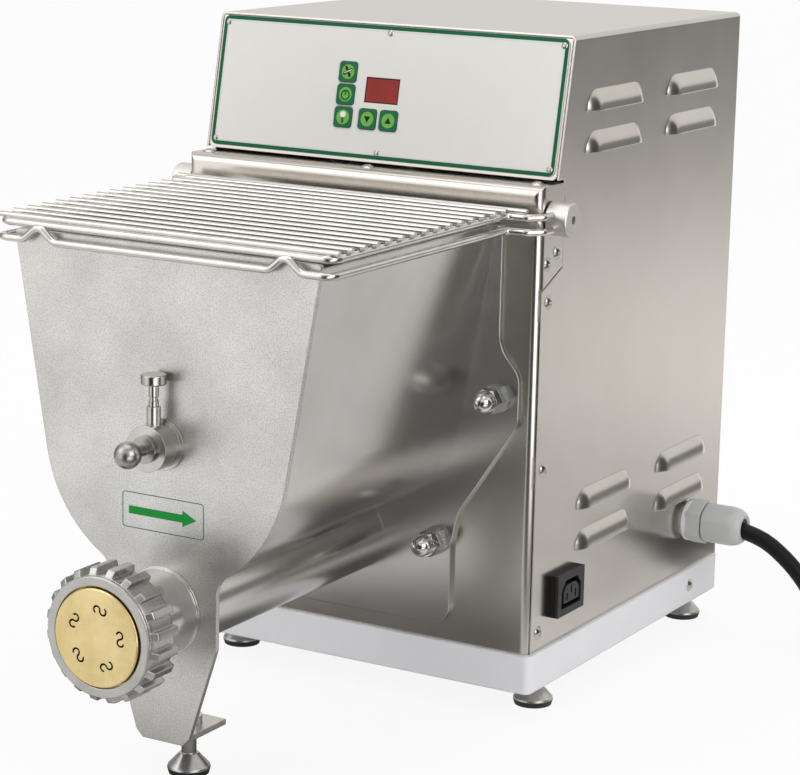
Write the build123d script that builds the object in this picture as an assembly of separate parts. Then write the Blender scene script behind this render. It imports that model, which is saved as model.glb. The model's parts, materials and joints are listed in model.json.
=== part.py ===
from build123d import *
import math
import os

# Electric pasta maker. Millimetres, +X to the right, +Y to the back, +Z up, feet on z = 0.
# Everything is laid out from the outer face of the front sheet (y = 0), and save() moves
# it so that the origin lies under the middle of the machine.

# --- case ---
case_width = 230.0
case_depth = 254.0
sheet = 1.2
front_sheet = 1.5
corner_radius = 5.0
cover_start = 3.2           # front edge of the wrap-round cover
bend_radius = 3.0
seam = 0.4                  # gap beside a plate that drops between two others
return_lip = 2.4            # front sheet's return along the cover's front edge
return_reach = 7.0          # its upper part, beyond the ledge
return_gap = 0.8
return_drop = 39.0          # hinge to where the return starts to widen
return_rise = 10.5
tab_width = 7.0
tab_height = 18.0

# --- base and feet ---
base_bottom = 18.5
base_height = 22.0
base_overhang = 2.0
base_wall = 2.0
base_corner = 4.0
base_lip = 8.0
foot_inset = 15.0           # case side to the foot's middle
foot_front_y = 37.5
foot_rear_inset = 14.0
foot_radius = 11.5
foot_pad = 3.0
foot_cone_top = 11.0
foot_stem_radius = 4.0
foot_nut = 5.0
foot_edge = 0.8             # slopes of its pad, rim and cone
foot_rim = (0.3, 1.2)
foot_shoulder = 1.0
foot_boss = 4.0             # wall round the stem's hole
stem_over = 3.0             # stem above its nut

# --- drive heights: module, teeth, face widths ---
auger_rise = 54.5           # base top to the auger's axis
gear_module = 2.0
mixer_teeth = 52
auger_teeth = 36
layshaft_pinion_teeth = 16
first_module = 1.5
layshaft_teeth = 56
motor_teeth = 14
pressure_angle = 20.0
addendum = 0.8
dedendum = 1.05
backlash = 0.25
gear_gap = 3.0              # gearbox wall to the gears, and between the stages
gear_face = 16.0
first_face = 11.0
layshaft_angle = -40.0      # seen from the front, from +X towards +Z
motor_angle = -90.0

# --- shafts, bearings and gearbox ---
drive_radius = 8.5
layshaft_radius = 6.0
motor_shaft_radius = 5.0
running = 0.05
shaft_gap = 2.0             # where the motor's shaft enters the gearbox
bearing_wall = 8.0
bearing_width = 9.0
bearing_lip = 3.0
bearing_gap = 2.1           # front bearings to the gears
plate_thickness = 6.0
plate_border = 13.0         # stud to the plate's edge
plate_corner = 10.0
plate_over = 12.0
gearbox_wall = 5.0
gearbox_clearance = 3.0
gearbox_rear = 10.0
bearing_cover = 1.0         # wall behind the rear bearings
seal_wall = 4.5
tang_half = 2.5
tang_length = 12.0
tang_margin = 1.5
tang_gap = 0.1
tang_back = 1.0             # flange to the tang's root

# --- motor ---
motor_radius = 44.0
motor_wall = 3.0
motor_length = 104.0
stator_length = 62.0
rotor_radius = 26.0
air_gap = 0.5
bell_length = 14.0
bell_wall = 4.0
fin_height = 5.0
fin_width = 2.0
fin_step = 14
fin_margin = 12.0
cradle_width = 60.0
cradle_length = 44.0
cradle_below = 18.0         # motor's axis to the cradle's top

# --- bowl ---
plate = 3.0
bowl_length = 186.0         # front sheet to the front plate's outer face
trough_radius = 71.5
trough_wall = 2.0
trough_rise = 98.0          # mixer's axis to the trough's rim
trough_inset = 25.0         # case side to the trough's side
plate_margin = 3.2
plate_over_rim = 3.3
plate_corner_radius = 2.0
neck_half_width = 33.0
waist_radius = 14.0
hip_radius = 10.0
leg_corner = 4.0
neck_drop = 16.0            # auger's axis to where the leg starts to narrow
leg_half_width = 16.5
leg_gap = 13.0              # foot's cone to the leg
leg_foot_back = 24.0        # front plate's face to the leg foot's centre
leg_flange = 40.0
leg_flange_inset = 4.0
throat_half_width = 12.0
flange_gap = 9.8            # base top to the flange
stud_radius = 4.0
lug_out = 2.5               # trough side to the upper studs
lug_over = 2.0              # and their height over the mixer's axis
lug_edge = 13.5
lug_half = 14.0
lug_shoulder = 28.0
low_stud_x = 55.8
low_stud_over = 3.5         # their height over the auger's axis
low_edge = 10.2
low_shoulder = (14.6, 18.5)
flange_rounding = (3.0, 22.0, 13.0, 13.0, 12.0, 14.0, 12.0)   # from its top corner down

# --- fasteners of the bowl ---
washer_radius = 8.0
washer_thickness = 1.6
nut_flats = 13.0
lock_height = 4.4
cap_height = 6.0
nut_slope = 3.0
dome_radius = 5.6
dome_neck = 3.0
lock_gap = 0.2
stud_over = 8.0             # stud inside the dome nut

# --- barrel, auger, die and ring nut ---
barrel_radius = 22.5
barrel_wall = 2.6
barrel_reach = 33.5         # front plate to the head
rim_over = 1.0
rim_proud = 1.5
head_over = 7.9
head_length = 12.0
auger_clearance = 0.6
auger_core = 7.0
auger_pitch = 26.0
auger_end = 4.0
flight = 3.0
die_inset = 2.1
die_step = 4.5
die_shoulder = 2.8
die_length = 11.5           # head's end to the die's face
die_edge = 0.6
die_slots = 5
slot_circle = 15.0
slot_bend = 1.85
slot_width = 1.0
slot_start = 80.0
slot_sweep = 240.0          # degrees of each half of the S
die_proud = 1.5             # die's face ahead of the nut's
nut_skirt = 1.0             # head's back to the nut's
nut_wall = 4.8
nut_clearance = 0.1
lip_clearance = 0.9
nut_ribs = 18
nut_edge = 0.8
rib_width = 6.0
rib_proud = 3.3             # over the channels
rib_over_ring = 1.3         # over the smooth ring in front
rib_start = 2.4

# --- axle, boss and latch ---
boss_radius = 12.0
boss_rim = 1.6
boss_rim_length = 2.0
boss_length = 14.6
axle_radius = 5.0
axle_reach = 38.0
axle_collar = 7.0
axle_neck = 3.0
collar_gap = 0.2
collar_length = 2.3
ball_radius = 7.0
ball_ahead = 30.0           # front plate to the ball's centre
latch_ahead = 8.0           # front plate to the latch
latch_wall = 1.0
latch_radius = 2.6
latch_sleeve_rise = 21.0
latch_sink = 3.0
latch_rise = 37.5
latch_head_radius = 6.6
latch_head = 5.3
latch_head_edge = 0.8
latch_gap = 0.3
latch_groove = 2.0
latch_groove_depth = 0.5

# --- kneading paddle ---
paddle_core = 9.0
paddle_front_gap = 2.5
paddle_rear_gap = 2.0
blade_clearance = 4.5
blade_width = 16.0
blade_thickness = 7.0
blade_corner = 4.0
blade_margin = 15.0
blade_angle = 25
blade_count = 4

# --- lid ---
wire = 1.5                  # wire radius
rod = 2.0                   # frame rod radius
wire_sink = 0.3             # how far two welded wires sink into each other
lid_overlap = 11.0          # trough side to the lid's frame
lid_ahead = 1.5             # front plate to the lid's front
hinge_over_plate = 0.7
upper_rod_rise = 2.7        # hinge to the frame rod
lower_rod_drop = 5.2
wire_pitch = 12.0
wire_over = 2.5             # wire ends beyond the frame
arm_y = -13.0
arm_gap = 4.0
arm_in = 3.5
hinge_y = 11.5
hinge_radius = 5.0
bush_wall = 2.0
knob_radius = 9.2
knob_gap = 1.0              # case side to the knob
knob_length = 12.5
knob_cap = 4.0
knob_edge = 0.7
knob_socket = 2.4
guard_ahead = 2.6           # lower rod ahead of the upper one
bump_inset = 26.0           # lid side to the bump's peak
bump_run = 9.5
bump_radii = [7.0, 5.0, 7.0]
arm_radii = [3.0, 4.0, 4.0, 6.0]
cam_radius = 7.5
cam_start = 58.0
cam_width = 8.0
cam_flat = 6.0
switch_width = 10.0
switch_back = 24.0
switch_gap = 0.4             # cam to the switch's pin
switch_half_height = 8.0
switch_pin = 2.0

# --- head with the control panel ---
ledge_over_hinge = 17.5
ledge_depth = 19.0
panel_gap = 1.5             # ledge to the panel's lower edge
panel_rise = 77.0
panel_lean = 15.4           # how far the panel leans back over its height
panel_thickness = 1.5
overlay_margin = 1.4
overlay_rim = 1.66
overlay_thickness = 1.0
overlay_corner = 4.0
key_size = 11.5
key_corner = 1.8
key_gap = 0.2
key_proud = 0.5
key_travel = 0.4
key_over = 0.45             # flange beyond the cap
key_flange_thickness = 0.8
window_width = 22.0
window_height = 14.4
window_place = (-1.3, 1.1)
lens_gap = 0.1
lens_drop = 0.3
board_width = 120.0
board_height = 54.0
board_centre_v = -3.0
board_gap = 6.5             # fascia's back to the board's face
board_thickness = 1.6
board_post = 3.0
board_post_inset = 5.0
switch_size = 6.0
switch_button = 1.7
switch_button_height = 1.2
switch_free = 0.15
transformer = (24.0, 20.0, 16.0)
transformer_place = (38.0, -6.0)
board_cans = [(-40.0, -8.0), (-22.0, -8.0), (0.0, -8.0)]
can_radius = 6.0
can_height = 14.0

# --- louvers: (from the front or the back edge, from the top or the base) ---
louver_length = 70.0
louver_height = 11.5
louver_depth = 4.5
upper_louvers = (50.0, 101.0, 65.0, 42.0)
lower_louvers = (54.0, 95.0, 48.0, 71.9)

# --- outlet ---
outlet_y = 41.0
outlet_rise = 28.3
outlet_width = 32.0
outlet_height = 24.2
outlet_proud = 5.4
outlet_depth = 24.0
outlet_flange = (3.2, 1.7)  # bezel beyond the body
outlet_groove = 4.0         # bezel's edge to the groove
outlet_groove_width = 3.0
outlet_groove_depth = 17.0
outlet_corner = 5.0
slot_half_width = 0.9
slot_half_height = 2.3
slot_depth = 15.0
outlet_slots = ((-5.2, -1.6), (5.2, -1.6), (0.0, 1.9))

# --- cable gland and mains lead ---
gland_inset = 49.0          # case back to the gland
gland_rise = 33.3
gland_hex = 12.0
gland_reach = 40.0
gland_thread = 8.0
gland_washer = 3.0
gland_washer_radius = 10.2
gland_collar = 2.6
gland_collar_over = 0.8
gland_hex_height = 9.0
gland_neck = 9.4
gland_neck_height = 4.0
gland_tail = 9.0
gland_cap_gap = 1.0
gland_dome = 9.0
gland_dome_end = 7.0
gland_lock = 5.0
gland_mouth = 1.8
cord_radius = 5.0
coil_radius = 57.0          # middle of its turns
coil_turns = 4.47
coil_layers = 2
coil_end = 90.0             # angle where the last turn leaves for the plug
tail_length = 22.0
plug_radius = 18.5
plug_length = 35.0
plug_relief = 30.0
relief_wall = 1.0
relief_flare = 3.0
pin_radius = 2.4
pin_length = 19.0
pin_spacing = 19.0

# --- screws ---
screw_radius = 4.0          # heads
ledge_screw_radius = 4.0
panel_screw_radius = 1.9
shank_share = 0.4
cross_width_share = 0.25
cross_depth_share = 1.3
screw_length = 4.0
ledge_screw_inset = 8.0
panel_screw_inset = (3.0, 4.0)
cover_screw_y = 11.5
cover_screw_rise = 10.5     # base top to the lowest
cover_screw_drop = 46.3     # hinge to the highest
return_screw_places = [(20.0, 20.0), (8.8, 25.0)]   # (y, below the hinge)
base_screw_inset = 42.0

# --- fan and capacitor ---
fan_size = 80.0
fan_depth = 25.0
fan_drop = 81.0             # case top to the fan's axis
fan_rim = 2.0
fan_hub = 14.0
fan_plate = 3.0
fan_pin = 2.0
fan_end = 4.0
fan_blades = 7
blade_chord = 20.0
blade_sheet = 1.6
blade_root = 10.0
blade_pitch = 35
vent_radius = 2.8
vent_rings = ((10.0, 6), (19.0, 12), (28.0, 18))
capacitor_place = (-72.0, 150.0)
capacitor_radius = 20.0
capacitor_height = 91.5
terminal_radius = 3.0
terminal_height = 6.0
terminal_spacing = 8.0

half = case_width / 2
back = case_depth
inner = half - sheet
at_base = (Align.CENTER, Align.CENTER, Align.MIN)

# heights, from the floor upwards
base_top = base_bottom + base_height
auger_height = base_top + auger_rise
mixer_height = auger_height + gear_module * (mixer_teeth + auger_teeth) / 2
trough_top = mixer_height + trough_rise
plate_top = trough_top + plate_over_rim
hinge_z = plate_top + hinge_over_plate
upper_rod = hinge_z + upper_rod_rise
lower_rod = hinge_z - lower_rod_drop
ledge_top = hinge_z + ledge_over_hinge
panel_foot = ledge_top + panel_gap
case_top = panel_foot + panel_rise
panel_top = case_top - sheet - seam
lug_z = mixer_height + lug_over
low_stud_z = auger_height + low_stud_over
flange_bottom = base_top + flange_gap
neck_bottom = auger_height - neck_drop
leg_bottom = foot_cone_top + leg_gap
latch_sleeve_top = mixer_height + latch_sleeve_rise
latch_top = mixer_height + latch_rise
fan_z = case_top - fan_drop
outlet_z = base_top + outlet_rise
gland_z = base_top + gland_rise

# widths, from the case
foot_x = half - foot_inset
trough_half_width = half - trough_inset
lug_x = trough_half_width + lug_out
lid_half_width = trough_half_width + lid_overlap
bump_x = lid_half_width - bump_inset
knob_inner = half + knob_gap
knob_outer = knob_inner + knob_length
overlay_half_width = inner - seam - overlay_margin

# depths, ahead of the front sheet or from it to the back
head_start = bowl_length + barrel_reach
head_end = head_start + head_length
die_front = head_end + die_length
nut_front = die_front - die_proud
nut_back = head_start + nut_skirt
lid_front = bowl_length + lid_ahead
latch_y = -bowl_length - latch_ahead
ball_y = -bowl_length - ball_ahead
footprint_middle = (back - die_front) / 2
foot_rear_y = back - foot_rear_inset
leg_foot_y = -bowl_length + leg_foot_back
gland_y = back - gland_inset

# radii
lean = math.atan2(panel_lean, panel_rise)
panel_half = math.hypot(panel_lean, panel_rise) / 2
overlay_half_height = panel_half - overlay_rim
seal_radius = drive_radius + seal_wall
bush_radius = hinge_radius + bush_wall
barrel_bore = barrel_radius - barrel_wall
auger_radius = barrel_bore - auger_clearance
rim_radius = barrel_radius + rim_over
head_radius = barrel_radius + head_over
nut_bore = head_radius + nut_clearance
nut_radius = nut_bore + nut_wall
die_radius = head_radius - die_inset
die_face_radius = die_radius - die_shoulder
nut_lip_radius = die_face_radius + lip_clearance
blade_reach = trough_radius - trough_wall - blade_clearance

nut_seat = washer_thickness + lock_height + lock_gap
outlet_body_half_width = outlet_width / 2 - outlet_flange[0]
outlet_body_half_height = outlet_height / 2 - outlet_flange[1]

# screws as (y, z) on each side of the case
cover_screw_low, cover_screw_high = base_top + cover_screw_rise, hinge_z - cover_screw_drop
cover_screws = [(cover_screw_y, cover_screw_high), (cover_screw_y, (cover_screw_low + cover_screw_high) / 2),
                (cover_screw_y, cover_screw_low)]
return_screws = [(y, hinge_z - drop) for y, drop in return_screw_places]
base_screw = (back - base_screw_inset, (base_bottom + base_top) / 2)
ledge_screws = [side * (half - ledge_screw_inset) for side in (-1, 0, 1)]
ledge_screw_y = ledge_depth / 2


def save(name, shape):
    moved = Pos(0, -footprint_middle, 0) * shape
    solids = list(moved.solids())
    export_step(solids[0] if len(solids) == 1 else Compound(children=solids), f"parts/{name}.step")


def box(x, y, z):
    """A block between two values along each axis."""
    size = [abs(b - a) for a, b in (x, y, z)]
    return Pos(sum(x) / 2, sum(y) / 2, sum(z) / 2) * Box(*size)


def along_y(sketch, start, end):
    """A sketch drawn as seen from the front, extruded from y = start to y = end."""
    return Pos(0, end, 0) * (Plane.XZ * extrude(sketch, end - start, dir=(0, 0, 1)))


def rod_y(x, z, radius, start, end):
    return along_y(Pos(x, z) * Circle(radius), start, end)


def rod_x(y, z, radius, start, end):
    return Pos((start + end) / 2, y, z) * Rot(0, 90, 0) * Cylinder(radius, end - start)


def rod_z(x, y, radius, start, end):
    return Pos(x, y, (start + end) / 2) * Cylinder(radius, end - start)


def ring_z(x, y, outer, bore, start, end):
    return rod_z(x, y, outer, start, end) - rod_z(x, y, bore, start - 1, end + 1)


def ring_y(x, z, outer, bore, start, end):
    return along_y(Pos(x, z) * (Circle(outer) - Circle(bore)), start, end)


def side_profile(points, start, end):
    """A (y, z) outline extruded along X."""
    return Pos(start, 0, 0) * extrude(Plane.YZ * Polygon(*points, align=None), end - start, dir=(1, 0, 0))


def both_sides(shape):
    return [shape, mirror(shape, Plane.YZ)]


def joined(shapes):
    whole = shapes[0]
    for shape in shapes[1:]:
        whole = whole + shape
    return whole


def group(shapes):
    return Compound(children=[solid for shape in shapes for solid in shape.solids()])


def swept(points, radii, radius):
    """A round rod or tube along straight runs joined by arcs."""
    path = FilletPolyline(*points, radius=radii)
    start = Plane(origin=path @ 0, z_dir=path % 0)
    return sweep(start * Circle(radius), path=path)


# ---------------------------------------------------------------- gears

def gear_outline(teeth, module, phase):
    """Stub involute teeth; phase is the angle in degrees of one tooth's middle."""
    pitch_radius = module * teeth / 2
    base_radius = pitch_radius * math.cos(math.radians(pressure_angle))
    tip = pitch_radius + addendum * module
    root = pitch_radius - dedendum * module
    half_tooth = math.pi / (2 * teeth) - backlash / (4 * pitch_radius)

    def involute(angle):
        return math.tan(angle) - angle

    def half_angle(radius):
        turn = math.acos(min(1.0, base_radius / max(radius, base_radius)))
        return half_tooth + involute(math.radians(pressure_angle)) - involute(turn)

    radii = sorted({root, max(root, base_radius), pitch_radius, tip})
    points = []
    for tooth in range(teeth):
        middle = math.radians(phase) + 2 * math.pi * tooth / teeth
        flank = [(radius, -half_angle(radius)) for radius in radii]
        flank += [(radius, half_angle(radius)) for radius in reversed(radii)]
        points += [(r * math.cos(middle + a), r * math.sin(middle + a)) for r, a in flank]
    return Polygon(*points, align=None)


def meshing_phase(own_teeth, mate_teeth, mate_phase, direction):
    """Phase that puts a gap of this gear on the tooth of its mate, which lies at direction from it."""
    return direction + 180 + 180 / own_teeth - (mate_phase - direction) * mate_teeth / own_teeth


def polar(centre, distance, angle):
    return (centre[0] + distance * math.cos(math.radians(angle)),
            centre[1] + distance * math.sin(math.radians(angle)))


mixer_axis = (0.0, mixer_height)
auger_axis = (0.0, auger_height)
layshaft_axis = polar(mixer_axis, gear_module * (mixer_teeth + layshaft_pinion_teeth) / 2, layshaft_angle)
motor_axis = polar(layshaft_axis, first_module * (layshaft_teeth + motor_teeth) / 2, motor_angle)
mixer_phase = 90.0
auger_phase = meshing_phase(auger_teeth, mixer_teeth, mixer_phase, -90.0)
pinion_phase = meshing_phase(layshaft_pinion_teeth, mixer_teeth, mixer_phase, layshaft_angle)
layshaft_phase = pinion_phase
motor_phase = meshing_phase(motor_teeth, layshaft_teeth, layshaft_phase, motor_angle)

plate_front = front_sheet
plate_back = plate_front + plate_thickness
bearing_front = plate_back + seam
gear_front = bearing_front + bearing_width + bearing_gap
gear_back = gear_front + gear_face
first_front = gear_back + gear_gap
first_back = first_front + first_face
gearbox_inside = first_back + gear_gap
gearbox_back = gearbox_inside + gearbox_rear
shaft_end = gearbox_back - 2 * bearing_cover
tang_start = -plate - tang_back
screw_rear = -plate - paddle_rear_gap


def gear(teeth, module, phase, axis, start, end, bore):
    outline = gear_outline(teeth, module, phase) - Circle(bore)
    return along_y(Pos(*axis) * outline, start, end)


def gear_train():
    save("mixer_gear", gear(mixer_teeth, gear_module, mixer_phase, mixer_axis,
                            gear_front, gear_back, drive_radius))
    save("auger_gear", gear(auger_teeth, gear_module, auger_phase, auger_axis,
                            gear_front, gear_back, drive_radius))
    pinion = gear(layshaft_pinion_teeth, gear_module, pinion_phase, layshaft_axis,
                  gear_front, gear_back, layshaft_radius / 2)
    save("layshaft", pinion + rod_y(*layshaft_axis, layshaft_radius, bearing_front, shaft_end))
    save("layshaft_gear", gear(layshaft_teeth, first_module, layshaft_phase, layshaft_axis,
                               first_front, first_back, layshaft_radius))
    save("motor_pinion", gear(motor_teeth, first_module, motor_phase, motor_axis,
                              first_front, first_back, motor_shaft_radius))


# ---------------------------------------------------------------- gearbox

def bearing(axis, bore, start):
    return ring_y(*axis, bore + bearing_wall, bore, start, start + bearing_width)


def gearbox():
    plate_end = mixer_height + gear_module * mixer_teeth / 2 + gearbox_clearance + gearbox_wall + plate_over
    outline = Pos(0, (flange_bottom + plate_end) / 2) * RectangleRounded(
        2 * (lug_x + plate_border), plate_end - flange_bottom, plate_corner)
    for place in stud_positions():
        outline -= Pos(*place) * Circle(stud_radius)
    for axis in (mixer_axis, auger_axis):
        outline -= Pos(*axis) * Circle(seal_radius)
    mounting = along_y(outline, plate_front, plate_back)

    reach = [(mixer_axis, gear_module * mixer_teeth / 2), (auger_axis, gear_module * auger_teeth / 2),
             (layshaft_axis, first_module * layshaft_teeth / 2),
             (motor_axis, motor_shaft_radius + bearing_wall)]
    cavity = joined([Pos(*axis) * Circle(r + gearbox_clearance) for axis, r in reach])
    outside = joined([Pos(*axis) * Circle(r + gearbox_clearance + gearbox_wall) for axis, r in reach])
    housing = along_y(outside, plate_back, gearbox_back) - along_y(cavity, plate_back, gearbox_inside)
    bores = [(mixer_axis, drive_radius), (auger_axis, drive_radius), (layshaft_axis, layshaft_radius)]
    for axis, radius in bores:
        housing -= rod_y(*axis, radius + running + bearing_wall, gearbox_inside, gearbox_back - bearing_cover)
    housing -= rod_y(*motor_axis, motor_shaft_radius + shaft_gap, gearbox_inside, gearbox_back)
    for axis, radius in bores:
        bore = radius + running + bearing_wall
        mounting += ring_y(*axis, bore + bearing_lip, bore, plate_back, bearing_front + bearing_width)
    save("mounting_plate", mounting)
    save("gearbox_housing", housing)
    bearings = []
    for axis, radius in bores:
        bearings.append(bearing(axis, radius + running, bearing_front))
        bearings.append(bearing(axis, radius + running, gearbox_inside))
    bearings += [bearing(motor_axis, motor_shaft_radius + running, y) for y in motor_bearing_starts()]
    save("shaft_bearings", group(bearings))


def stud_positions():
    return [(side * x, z) for side in (-1, 1) for x, z in ((lug_x, lug_z), (low_stud_x, low_stud_z))]


def drive_shafts():
    """Each shaft runs from its rear bearing through the seal, and ends in a flat tang."""
    shafts = (("mixer_shaft", mixer_axis, paddle_core), ("auger_shaft", auger_axis, auger_core))
    for name, axis, tang in shafts:
        shaft = rod_y(*axis, drive_radius, tang_start, shaft_end)
        shaft += box((axis[0] - tang_half, axis[0] + tang_half), (tang_start - tang_length, tang_start),
                     (axis[1] - tang + tang_margin, axis[1] + tang - tang_margin))
        save(name, shaft)
    seals = [ring_y(*axis, seal_radius, drive_radius + running, -plate, plate_back)
             for axis in (mixer_axis, auger_axis)]
    bushes = both_sides(rod_x(hinge_y, hinge_z, bush_radius, half - front_sheet - bush_wall, half)
                        - rod_x(hinge_y, hinge_z, hinge_radius + running, 0, half + 1))
    save("seals_and_bushes", group(seals + bushes))


# ---------------------------------------------------------------- motor

def motor_bearing_starts():
    return [gearbox_back + shaft_gap, gearbox_back + motor_length - bearing_width - bearing_lip]


def motor():
    x, z = motor_axis
    start, end = gearbox_back, gearbox_back + motor_length
    bore = motor_shaft_radius + running + bearing_wall
    bell_start = end - bell_length
    shell = ring_y(x, z, motor_radius, motor_radius - motor_wall, start, bell_start)
    shell += ring_y(x, z, motor_radius, bore, start, start + bearing_width + bearing_lip)
    shell -= rod_y(x, z, bore, start, start + bearing_width + shaft_gap)
    shell -= rod_y(x, z, motor_shaft_radius + shaft_gap / 2, start, end)
    fin = Pos(motor_radius - motor_wall / 2 + fin_height / 2, 0) * Rectangle(fin_height, fin_width)
    fins = [along_y(Pos(x, z) * Rot(0, 0, angle) * fin, start + fin_margin, bell_start - shaft_gap)
            for angle in range(fin_step, 180 - fin_step, fin_step)]
    shell = joined([shell] + fins)
    bell = ring_y(x, z, motor_radius, bore, bell_start, end)
    bell -= ring_y(x, z, motor_radius - motor_wall, bore + bell_wall, bell_start, end - bell_wall)
    save("motor_housing", group([shell, bell]))
    middle = (start + end) / 2
    stator = ring_y(x, z, motor_radius - motor_wall, rotor_radius + air_gap,
                    middle - stator_length / 2, middle + stator_length / 2)
    save("motor_stator", stator)
    rotor = rod_y(x, z, rotor_radius, middle - stator_length / 2, middle + stator_length / 2)
    rotor += rod_y(x, z, motor_shaft_radius, first_front - shaft_gap, end - bell_wall)
    save("motor_rotor", rotor)
    cradle = box((x - cradle_width / 2, x + cradle_width / 2),
                 (middle - cradle_length / 2, middle + cradle_length / 2),
                 (base_bottom + base_wall, z - cradle_below))
    save("motor_cradle", cradle - rod_y(x, z, motor_radius, start, end))


# ---------------------------------------------------------------- base, feet and case

def base():
    outer_x = half + base_overhang
    outline = Pos(0, (back - base_overhang) / 2) * RectangleRounded(
        2 * outer_x, back + base_overhang, base_corner)
    inside = Pos(0, (back - base_overhang) / 2) * RectangleRounded(
        2 * (outer_x - base_wall), back + base_overhang - 2 * base_wall, base_corner - base_wall)
    tray = Pos(0, 0, base_bottom) * extrude(outline, base_top - base_bottom)
    tray -= Pos(0, 0, base_bottom + base_wall) * extrude(inside, base_top)
    for y in (foot_front_y, foot_rear_y):
        for x in (-foot_x, foot_x):
            tray += rod_z(x, y, foot_stem_radius + foot_boss, base_bottom, base_bottom + base_wall + foot_nut)
            tray -= rod_z(x, y, foot_stem_radius + running, 0, base_top)
    # inward lip that the cover and the front sheet stand on
    lip = Pos(0, 0, base_top - base_wall) * extrude(outline, base_wall)
    rim = Pos(0, (back - base_overhang) / 2) * RectangleRounded(
        2 * (outer_x - base_lip), back + base_overhang - 2 * base_lip, base_corner)
    tray += lip - Pos(0, 0, base_top - 2 * base_wall) * extrude(rim, 3 * base_wall)
    tray -= rod_x(*base_screw, screw_radius * shank_share, -outer_x - 1, outer_x + 1)
    save("base_tray", tray)


def foot(x, y, stem_top):
    """A levelling foot: rubber-ringed base, cone and threaded stem."""
    profile = Polygon((0, 0), (foot_radius - foot_edge, 0), (foot_radius, foot_pad),
                      (foot_radius - foot_rim[0], foot_pad + foot_rim[1]),
                      (foot_stem_radius + foot_shoulder, foot_cone_top), (foot_stem_radius, foot_cone_top),
                      (foot_stem_radius, stem_top), (0, stem_top), align=None)
    body = revolve(Plane.XZ * profile, Axis.Z)
    return Pos(x, y, 0) * body


def feet():
    stem_top = base_bottom + base_wall + foot_nut + stem_over
    for name, x, y in (("front_left", -foot_x, foot_front_y), ("front_right", foot_x, foot_front_y),
                       ("rear_left", -foot_x, foot_rear_y), ("rear_right", foot_x, foot_rear_y)):
        save(f"foot_{name}", foot(x, y, stem_top))
    save("foot_leg", foot(0, leg_foot_y, leg_bottom + plate + foot_nut + stem_over))


def front_line(z):
    """How far back the panel's outer face lies at height z."""
    return ledge_depth + (z - panel_foot) * math.tan(lean)


def louver(y_start, z_low, side):
    """A pressed hood with round ends, open at its lower edge: (solid to add, hollow to cut)."""
    # the hood's section is an arc that leaves the wall at the top and stands louver_depth off it at the mouth
    sink = (louver_height ** 2 - louver_depth ** 2) / (2 * louver_depth)
    radius = sink + louver_depth

    def hood(shrink, wall_start):
        reach = louver_length / 2 - louver_height
        middle = Pos(half - sink, y_start + louver_length / 2, z_low)
        round_bar = middle * Rot(90, 0, 0) * Cylinder(radius - shrink, 2 * reach)
        for end in (-reach, reach):
            round_bar += middle * Pos(0, end, 0) * Sphere(radius - shrink)
        return round_bar & box((wall_start, half + louver_height), (y_start, y_start + louver_length),
                               (z_low, z_low + louver_height))

    pair = hood(0.0, half - sheet / 2), hood(sheet, inner - 1)
    return [shape if side > 0 else mirror(shape, Plane.YZ) for shape in pair]


def louver_places():
    places = []
    for (front, rear, *heights), edge in ((upper_louvers, case_top), (lower_louvers, base_top)):
        for z in heights:
            level = edge - z if edge == case_top else edge + z
            places += [(front, level), (back - rear, level)]
    return places


def return_outline(gap):
    """The front sheet's side return, in (y, z), grown by gap."""
    reach = ledge_depth + return_reach + gap
    step, top = hinge_z - return_drop - gap, ledge_top + 1 + gap
    return [(-1, base_top - 1), (return_lip + gap, base_top - 1), (return_lip + gap, step),
            (reach, step + return_rise), (reach, top), (-1, top)]


def case():
    wall = Pos(0, (base_top + case_top) / 2) * Rectangle(case_width, case_top - base_top)
    wall = fillet(wall.vertices().group_by(Axis.Y)[-1], bend_radius)
    hollow = Pos(0, (base_top + case_top - sheet) / 2 - 1) * Rectangle(
        2 * inner, case_top - base_top - sheet + 2)
    hollow = fillet(hollow.vertices().group_by(Axis.Y)[-1], bend_radius - sheet)
    cover = along_y(wall - hollow, cover_start, back)
    cut_points = [(-5, ledge_top + 1), (front_line(ledge_top + 1), ledge_top + 1),
                  (front_line(case_top + 5), case_top + 5), (-5, case_top + 5)]
    front_cut = side_profile(cut_points, -half - 1, half + 1)
    cover -= front_cut
    cover -= side_profile(return_outline(return_gap), -half - 1, half + 1)
    for side in (-1, 1):
        for y, z in louver_places():
            solid, cut = louver(y, z, side)
            cover = cover + solid - cut
    cover -= box((inner - 1, half + 1),
                 (outlet_y - outlet_body_half_width, outlet_y + outlet_body_half_width),
                 (outlet_z - outlet_body_half_height, outlet_z + outlet_body_half_height))
    cover -= rod_x(gland_y, gland_z, gland_thread, inner - 1, half + 1)
    for y, z in cover_screws:
        cover -= rod_x(y, z, screw_radius * shank_share, -half - 1, half + 1)
    save("case_cover", cover)

    rear = Pos(0, (base_top + panel_top) / 2) * RectangleRounded(
        2 * (inner - seam), panel_top - base_top, bend_radius)
    rear = along_y(rear, back - sheet, back)
    holes = [Circle(vent_radius)]
    for ring, count in vent_rings:
        holes += [Rot(0, 0, 360 / count * number) * Pos(ring, 0) * Circle(vent_radius)
                  for number in range(count)]
    for hole in holes:
        rear -= along_y(Pos(0, fan_z) * hole, back - 5, back + 5)
    save("rear_panel", rear)


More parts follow.
